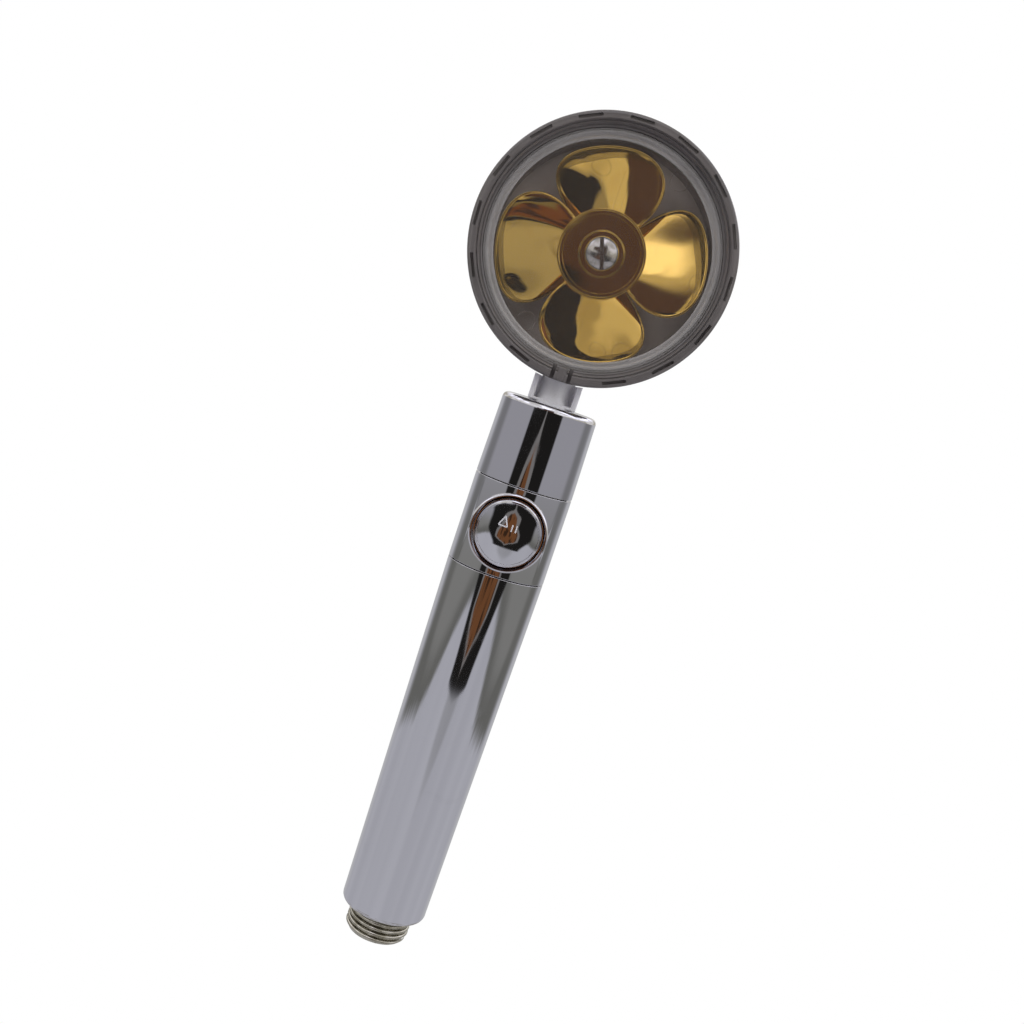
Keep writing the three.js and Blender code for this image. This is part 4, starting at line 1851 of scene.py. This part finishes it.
@dataclass
class Impeller:
    """The gold-plated hub and its four blades.

    Attributes:
        blades: Number of blades.
        hub: The hub's radius, in millimetres.
        hub_sides: Number of its sides.
        bore: Radius of the hole that turns on the screw.
        boss: Outer radius of the tube round that hole.
        face: The hub's face along the head's axis.
        back: Its rear end.
        root: Radius where a blade's rounded ends meet the hub.
        tip: Radius of the blades' tips.
        half_angle: Half the angle that a blade spans, in degrees.
        first_blade: Angle of the first blade, in degrees from +X towards +Z.
        thickness: The blades' thickness.
        bead: Radius of the rolled border, as a share of the thickness.
        depth: How much farther back the trailing edge lies than the leading edge.
        bend_at: Where a blade starts to fall away, from -1 to 1 across it.
        ease_at: Where its fall eases off.
        blur: Width of both changes.
        lean: How far the tip leans back behind the bend.
        curl: How far the tip curls.
        grid: Number of faces across a blade and along it.
    """

    blades: int = 4
    hub: float = 13.4
    hub_sides: int = 160
    bore: float = 4.05
    boss: float = 5.4
    face: float = -4.6
    back: float = 6.0
    root: float = 14.0
    tip: float = 32.0
    half_angle: float = 43.75
    first_blade: float = 9.65
    thickness: float = 0.9
    bead: float = 0.62
    depth: float = 6.9
    bend_at: float = -0.5
    ease_at: float = 0.3
    blur: float = 0.13
    lean: float = 0.7
    curl: float = 0.18
    grid: tuple[int, int] = (56, 20)

    def __post_init__(self) -> None:
        """Reads the impeller's place from the frame."""
        self.height = middle_of("head_body")
        self.centre = (0.0, 0.0, self.height)
        low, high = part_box("impeller")
        self.middle = (low.y + high.y) / 2 / MM

    def build(self, shop: Workshop, trees: Trees) -> None:
        """Makes the impeller.

        Args:
            shop: Where the piece is finished.
            trees: The geometry trees.
        """
        face, back = self.face, self.back
        corners = [
            (self.bore, face, 0.1),
            (5.0, face, 0.1),
            (6.6, face, 0.15),
            (7.0, face + 0.35, 0.15),
            (11.7, face + 0.35, 0.05),
            (11.8, face + 0.25, 0.05),
            (12.7, face + 0.25, 0.05),
            (12.9, face + 0.1, 0.05),
            (self.hub, face + 0.1, 0.2),
            (self.hub, back, 0.3),
            (self.hub - 1.4, back, 0.3),
            (self.hub - 1.4, face + 1.8, 0.3),
            (self.boss, face + 1.8, 0.3),
            (self.boss, back, 0.2),
            (self.bore, back, 0.1),
        ]
        piece = turned("fan", corners, Axis.HEAD, self.centre, self.hub_sides)
        sheet = self._sheet()
        bead = trees.rim_bead.make(
            "bead",
            shop.materials[Slot.GOLD],
            source=sheet.data.copy(),
            Thickness=self.thickness * self.bead * MM,
        )
        solid = sheet.modifiers.new("thickness", "SOLIDIFY")
        solid.thickness = self.thickness * MM
        solid.offset = 0.0
        settled(sheet)
        blade = merged(sheet, bead)
        ring = trees.around_head.make(
            "blades",
            shop.materials[Slot.GOLD],
            Item=blade,
            Count=self.blades,
            Radius=0.0,
            Start=math.radians(self.first_blade),
            Step=2 * math.pi / self.blades,
            Centre=Vector(self.centre) * MM,
        )
        bpy.data.objects.remove(blade)
        merged(piece, ring)
        shop.hand_in(piece, Slot.GOLD, Body.IMPELLER, ["impeller"], crease=50)

    def _edge(self, across: float) -> float:
        """Radius of a blade's border.

        Args:
            across: From -1 at the leading edge to 1 at the trailing edge.

        Returns:
            The radius, in millimetres.
        """
        roundness = 3.2 if across < 0 else 6.0
        share = max(0.0, 1 - abs(across) ** roundness) ** 0.55
        return self.root + (self.tip - self.root) * share

    def _fall(self, across: float) -> float:
        """How far back a blade lies; it is nearly level before its bend, falls
        away after it and eases off towards its trailing edge.

        Args:
            across: From -1 at the leading edge to 1 at the trailing edge.

        Returns:
            The distance along the head's axis from the impeller's middle, in millimetres.
        """

        def run(at: float) -> float:
            """Works out the unscaled fall.

            Args:
                at: Where, from -1 to 1 across the blade.

            Returns:
                The fall up to there.
            """
            steep, ease = (
                self.blur * math.log1p(math.exp((at - start) / self.blur))
                for start in (self.bend_at, self.ease_at)
            )
            return 0.12 * at + steep - 0.45 * ease

        least, most = run(-1.0), run(1.0)
        return self.depth * ((run(across) - least) / (most - least) - 0.5)

    def _sheet(self) -> bpy.types.Object:
        """Makes a blade's middle surface.

        Returns:
            An open sheet, centred on +X and on the head's axis.
        """
        columns, rows = self.grid
        inside = self.hub - 0.9
        work = bmesh.new()
        grid = []
        for column in range(columns + 1):
            across = math.sin((2 * column / columns - 1) * math.pi / 2)
            angle = math.radians(self.half_angle * across)
            lean = self.lean * min(1.0, max(0.0, (across + 0.2) / 0.6))
            line = []
            for row in range(rows + 1):
                share = row / rows
                radius = inside + (self._edge(across) - inside) * share
                y = self.middle + self._fall(across) * (0.9 + 0.06 * share) + 0.3
                y += lean * share + self.curl * share**12
                place = Vector((radius * math.cos(angle), y, radius * math.sin(angle)))
                line.append(work.verts.new(place * MM))
            grid.append(line)
        for column in range(columns):
            for row in range(rows):
                corners = (
                    grid[column][row],
                    grid[column][row + 1],
                    grid[column + 1][row + 1],
                    grid[column + 1][row],
                )
                work.faces.new(corners)
        mesh = bpy.data.meshes.new("blade")
        work.to_mesh(mesh)
        work.free()
        return new_object("blade", mesh)


@dataclass
class Axle:
    """The screw that the impeller turns on, with a slotted dome in front.

    Attributes:
        rod: The screw's radius, in millimetres.
        dome: The dome's radius.
        rise: The height of its bowed part.
        rim: Its whole height.
        slot: Half the width of the slot.
        slot_depth: The slot's depth.
        slot_angle: The slot's angle from upright, in degrees.
        sides: Number of sides.
    """

    rod: float = 2.6
    dome: float = 5.1
    rise: float = 2.0
    rim: float = 2.5
    slot: float = 0.6
    slot_depth: float = 1.3
    slot_angle: float = 18.0
    sides: int = 96

    def build(self, shop: Workshop) -> None:
        """Makes the screw.

        Args:
            shop: Where the piece is finished.
        """
        low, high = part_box("axle_screw")
        centre = (0, 0, middle_of("axle_screw"))
        crown, end = low.y / MM, high.y / MM
        under = crown + self.rim
        steps = 14
        dome = []
        for step in range(steps + 1):
            angle = math.pi / 2 * step / steps
            fall = self.rise * (1 - math.cos(angle))
            dome.append((self.dome * math.sin(angle), crown + fall))
        foot = [
            (self.dome, under),
            (self.rod, under),
            (self.rod, end - 0.4),
            (self.rod - 0.4, end),
            (0, end),
        ]
        piece = revolve("dome_screw", dome + foot, Axis.HEAD, centre, self.sides)
        ends = (centre[2] - 6, centre[2] + 6)
        low = (-self.slot, crown - 1, ends[0])
        cutter = box_piece("driver", low, (self.slot, crown + self.slot_depth, ends[1]))
        here = Matrix.Translation(Vector(centre) * MM)
        turn = Matrix.Rotation(-math.radians(self.slot_angle), 4, "Y")
        cutter.data.transform(here @ turn @ here.inverted())
        combine(piece, cutter)
        shop.hand_in(piece, Slot.STEEL, Body.HEAD, ["axle_screw"])


# ------------------------------------------------------------------------- studio
@dataclass
class Studio:
    """Camera, lights, sky and floor.

    Attributes:
        eye: The camera's place, in metres.
        pitch: How far it looks down, in degrees.
        roll: How far it is tipped to one side, in degrees.
        lens: Its focal length, in millimetres.
        shift: Its lens shift.
        floor_drop: Depth of the floor under the origin, in metres.
        floor_half: Half the floor's width.
        target: What the lamps point at.
        lamp_size: Width of the lamps.
        lamps: Place and power, in watts, of each lamp.
    """

    eye: Corner = (-0.0005, -0.3882, 0.1912)
    pitch: float = 8.7
    roll: float = 18.52
    lens: float = 43.8
    shift: Point = (0.0132, 0.0434)
    floor_drop: float = 0.22
    floor_half: float = 3.0
    target: Corner = (0.0, 0.0, 0.16)
    lamp_size: float = 0.8
    lamps: dict[str, tuple[Corner, float]] = field(
        default_factory=lambda: {
            "key": ((-0.7, -0.6, 0.9), 6.5),
            "fill": ((0.9, -0.4, 0.6), 5.5),
            "back": ((0.2, 0.9, 0.7), 5.0),
        }
    )

    def build(self) -> None:
        """Sets up the whole studio."""
        self._camera()
        self._sky()
        self._floor()
        self._lights()
        bpy.context.scene.view_settings.view_transform = "Standard"

    def _camera(self) -> None:
        """Puts the camera in front of the handle, looking slightly down, tipped to one side."""
        data = bpy.data.cameras.new("camera")
        data.lens = self.lens
        data.shift_x, data.shift_y = self.shift
        camera = bpy.data.objects.new("camera", data)
        bpy.context.scene.collection.objects.link(camera)
        level = Matrix.Rotation(math.pi / 2 - math.radians(self.pitch), 4, "X")
        tip = Matrix.Rotation(math.radians(self.roll), 4, "Z")
        camera.matrix_world = Matrix.Translation(self.eye) @ level @ tip
        bpy.context.scene.camera = camera

    def _sky(self) -> None:
        """A pale room with a dark stretch in front, white to the camera itself."""
        world = bpy.data.worlds.new("room")
        world.use_nodes = True
        world.node_tree.nodes.clear()
        graph = Graph(world.node_tree)
        where = graph.add("ShaderNodeTexCoord").outputs["Generated"]
        ray = graph.add("ShaderNodeLightPath").outputs["Is Camera Ray"]
        seen = graph.blend(ray, self._room(graph, where), (1.0, 1.0, 1.0))
        sky = graph.add("ShaderNodeBackground", {"Color": seen, "Strength": 1.0})
        graph.add("ShaderNodeOutputWorld", {"Surface": sky.outputs[0]})
        bpy.context.scene.world = world

    def _room(self, graph: Graph, where: bpy.types.NodeSocket) -> bpy.types.NodeSocket:
        """Paints the room that the plating reflects.

        Every angle is in degrees: signed counts from the front towards +X, turn is the same
        without its sign, and rise counts up from the horizon.

        Args:
            graph: The sky's graph.
            where: The direction looked in.

        Returns:
            The colour's socket.
        """
        split = graph.add("ShaderNodeSeparateXYZ", {0: where})
        x, y, z = (Value(graph, split.outputs[i]) for i in range(3))
        signed = x.math("ARCTAN2", y * -1) * (180 / math.pi)
        turn = abs(signed)
        rise = z.math("ARCSINE") * (180 / math.pi)
        cloud, drift = (
            graph.value("ShaderNodeTexNoise", {"Vector": where, "Scale": scale, "Detail": detail})
            for scale, detail in ((14.0, 4.0), (3.2, 2.0))
        )
        edge = (cloud - 0.5) * 2.2
        upright = {"W": signed * 0.035, "Scale": 1.0, "Detail": 0.6}
        bands = graph.value("ShaderNodeTexNoise", upright, noise_dimensions="1D")

        # The dark stretch in front: reach is half its width, and sway changes that on the left.
        reach = rise.between(-17.4, -16.2) * 21 + rise.between(-16.6, -9.5) * 14
        reach = reach - rise.between(0.5, 4.5) * 23
        sway = rise.between(0.3, 1.5, (0.0, -26.0)) + rise.between(0.5, 4.5, (0.0, 23.0))
        sway = sway + rise.between(5.5, 8.5, (0.0, 19.0)) - rise.between(17.0, 20.0, (0.0, 16.0))
        reach = reach + sway * signed.between(-2.0, 2.0, (1.0, 0.0))
        dark = (turn + edge - reach).between(-1.5, 2.5, (1.0, 0.0)) * rise.between(-17.4, -16.4)
        dark = dark * rise.between(20.0, 36.0, (1.0, 0.0))

        # The brown streak in it, with a paler border.
        waist = rise.between(-16.2, -12.5) * rise.between(-10.5, -6.5, (20.0, 14.0))
        waist = waist * rise.between(-3.6, 0.8, (1.0, 0.08))
        inside = waist - abs(signed + edge * 2 + 3)
        streak = inside.between(-0.5, 1.5)
        tan = (inside - 3.5 + rise.between(-10.0, -2.0, (0.0, -3.5))).between(-0.5, 1.5)

        # The grey panels at the sides, whose lower hem slopes down towards the back.
        hem = rise + edge * 0.5 - turn.between(26.0, 84.0, (-12.2, -18.0))
        panel = hem.between(-0.5, 1.0) * turn.between(118.0, 142.0, (1.0, 0.0))
        deep = hem.between(0.5, 5.0, (1.0, 0.0)) + turn.between(92.0, 112.0) * 0.8
        high = rise.between(0.6, 3.4) * turn.between(11.0, 16.0)
        ceiling = rise.between(14.0, 36.0)
        ground = rise.between(-40.0, -29.0, (1.0, 0.0))
        tail = (turn - rise.between(-25.0, -17.0) * 14).between(-6.0, 3.0, (0.55, 0.0))

        layers = (
            (bands.between(0.3, 0.7), (0.5, 0.5, 0.532)),
            (rise.between(-34.0, -22.0) * bands * 0.5, (0.40, 0.40, 0.42)),
            (tail * rise.between(-24.0, -19.0), (0.27, 0.27, 0.27)),
            (turn.between(128.0, 150.0), (0.52, 0.52, 0.53)),
            (panel, (0.245, 0.243, 0.225)),
            (panel * rise.between(-10.0, -2.5), (0.36, 0.355, 0.375)),
            (panel * deep.between(0.0, 1.0) * 0.6, (0.10, 0.10, 0.088)),
            (high, (0.78, 0.76, 0.72)),
            (high * drift.between(0.47, 0.58), (0.48, 0.45, 0.38)),
            (ceiling, (1.8, 1.78, 2.0)),
            (ceiling * drift.between(0.36, 0.54), (0.7, 0.68, 0.65)),
            (ground * drift.between(0.45, 0.6), (0.3, 0.28, 0.26)),
            (dark, (0.014, 0.013, 0.012)),
            (dark * rise.between(3.6, 5.2), (0.075, 0.042, 0.03)),
            (streak * dark, (0.21, 0.20, 0.19)),
            (tan * dark, (0.17, 0.07, 0.028)),
            (tan * dark * cloud.between(0.5, 0.6), (0.045, 0.022, 0.012)),
        )
        colour: Any = (0.53, 0.53, 0.56)
        for share, paint in layers:
            colour = graph.blend(share, colour, paint)
        return colour

    def _floor(self) -> None:
        """A plain pale floor below the hose end."""
        work = bmesh.new()
        bmesh.ops.create_grid(work, x_segments=2, y_segments=2, size=self.floor_half)
        for vertex in work.verts:
            vertex.co.z -= self.floor_drop
        floor = from_bmesh("floor", work)
        for polygon in floor.data.polygons:
            if polygon.normal.z < 0:
                polygon.flip()
        material = bpy.data.materials.new("pale_floor")
        material.use_nodes = True
        material.node_tree.nodes.clear()
        graph = Graph(material.node_tree)
        paint = graph.add("ShaderNodeBsdfDiffuse", {"Color": (0.5, 0.5, 0.54, 1.0)})
        glow = graph.add("ShaderNodeEmission", {"Color": (1.0, 1.0, 1.0, 1.0), "Strength": 1.0})
        ray = graph.add("ShaderNodeLightPath").outputs["Is Camera Ray"]
        mix = {"Fac": ray, 1: paint.outputs[0], 2: glow.outputs[0]}
        both = graph.add("ShaderNodeMixShader", mix)
        graph.add("ShaderNodeOutputMaterial", {"Surface": both.outputs[0]})
        floor.data.materials.append(material)
        floor.visible_glossy = False

    def _lights(self) -> None:
        """Large soft lamps from above and behind, which the plating doesn't show."""
        target = Vector(self.target)
        for name, (place, power) in self.lamps.items():
            data = bpy.data.lights.new(name, "AREA")
            data.size = self.lamp_size
            data.energy = power
            lamp = bpy.data.objects.new(name, data)
            lamp.location = place
            lamp.visible_glossy = False
            lamp.rotation_euler = (target - Vector(place)).to_track_quat("-Z", "Y").to_euler()
            bpy.context.scene.collection.objects.link(lamp)


KEPT_NODES: dict[str, Slot] = {
    "fitting_seal": Slot.RUBBER,
    "inlet_strainer": Slot.STEEL,
    "filter_lower_cap": Slot.WHITE,
    "filter_cartridge": Slot.FELT,
    "filter_upper_cap": Slot.WHITE,
    "valve_body": Slot.WHITE,
    "grip_seal": Slot.RUBBER,
    "cross_bore_plug": Slot.WHITE,
    "valve_spool": Slot.GREY,
    "spool_seal_1": Slot.RUBBER,
    "spool_seal_2": Slot.RUBBER,
    "sleeve_seal": Slot.RUBBER,
    "swivel_bush": Slot.WHITE,
    "stem_seal_1": Slot.RUBBER,
    "stem_seal_2": Slot.RUBBER,
    "retaining_clip": Slot.STEEL,
    "swivel_washer": Slot.STEEL,
    "window_seal": Slot.RUBBER,
    "plate_seal": Slot.RUBBER,
    "jet_insert": Slot.SMOKE,
    "front_bush": Slot.WHITE,
    "rear_bush": Slot.WHITE,
    "front_washer": Slot.GOLD,
    "rear_washer": Slot.STEEL,
}


def main() -> None:
    """Builds the shower head piece by piece."""
    Studio().build()
    shop, trees = Workshop(), Trees()
    shop.carry_over(KEPT_NODES)
    HoseEnd().build(shop, trees)
    Grip().build(shop)
    ButtonCollar().build(shop)
    StopButton().build(shop, trees)
    TopSleeve().build(shop)
    Neck().build(shop)
    Head().build(shop, trees)
    Impeller().build(shop, trees)
    Axle().build(shop)


if __name__ == "__main__":
    main()
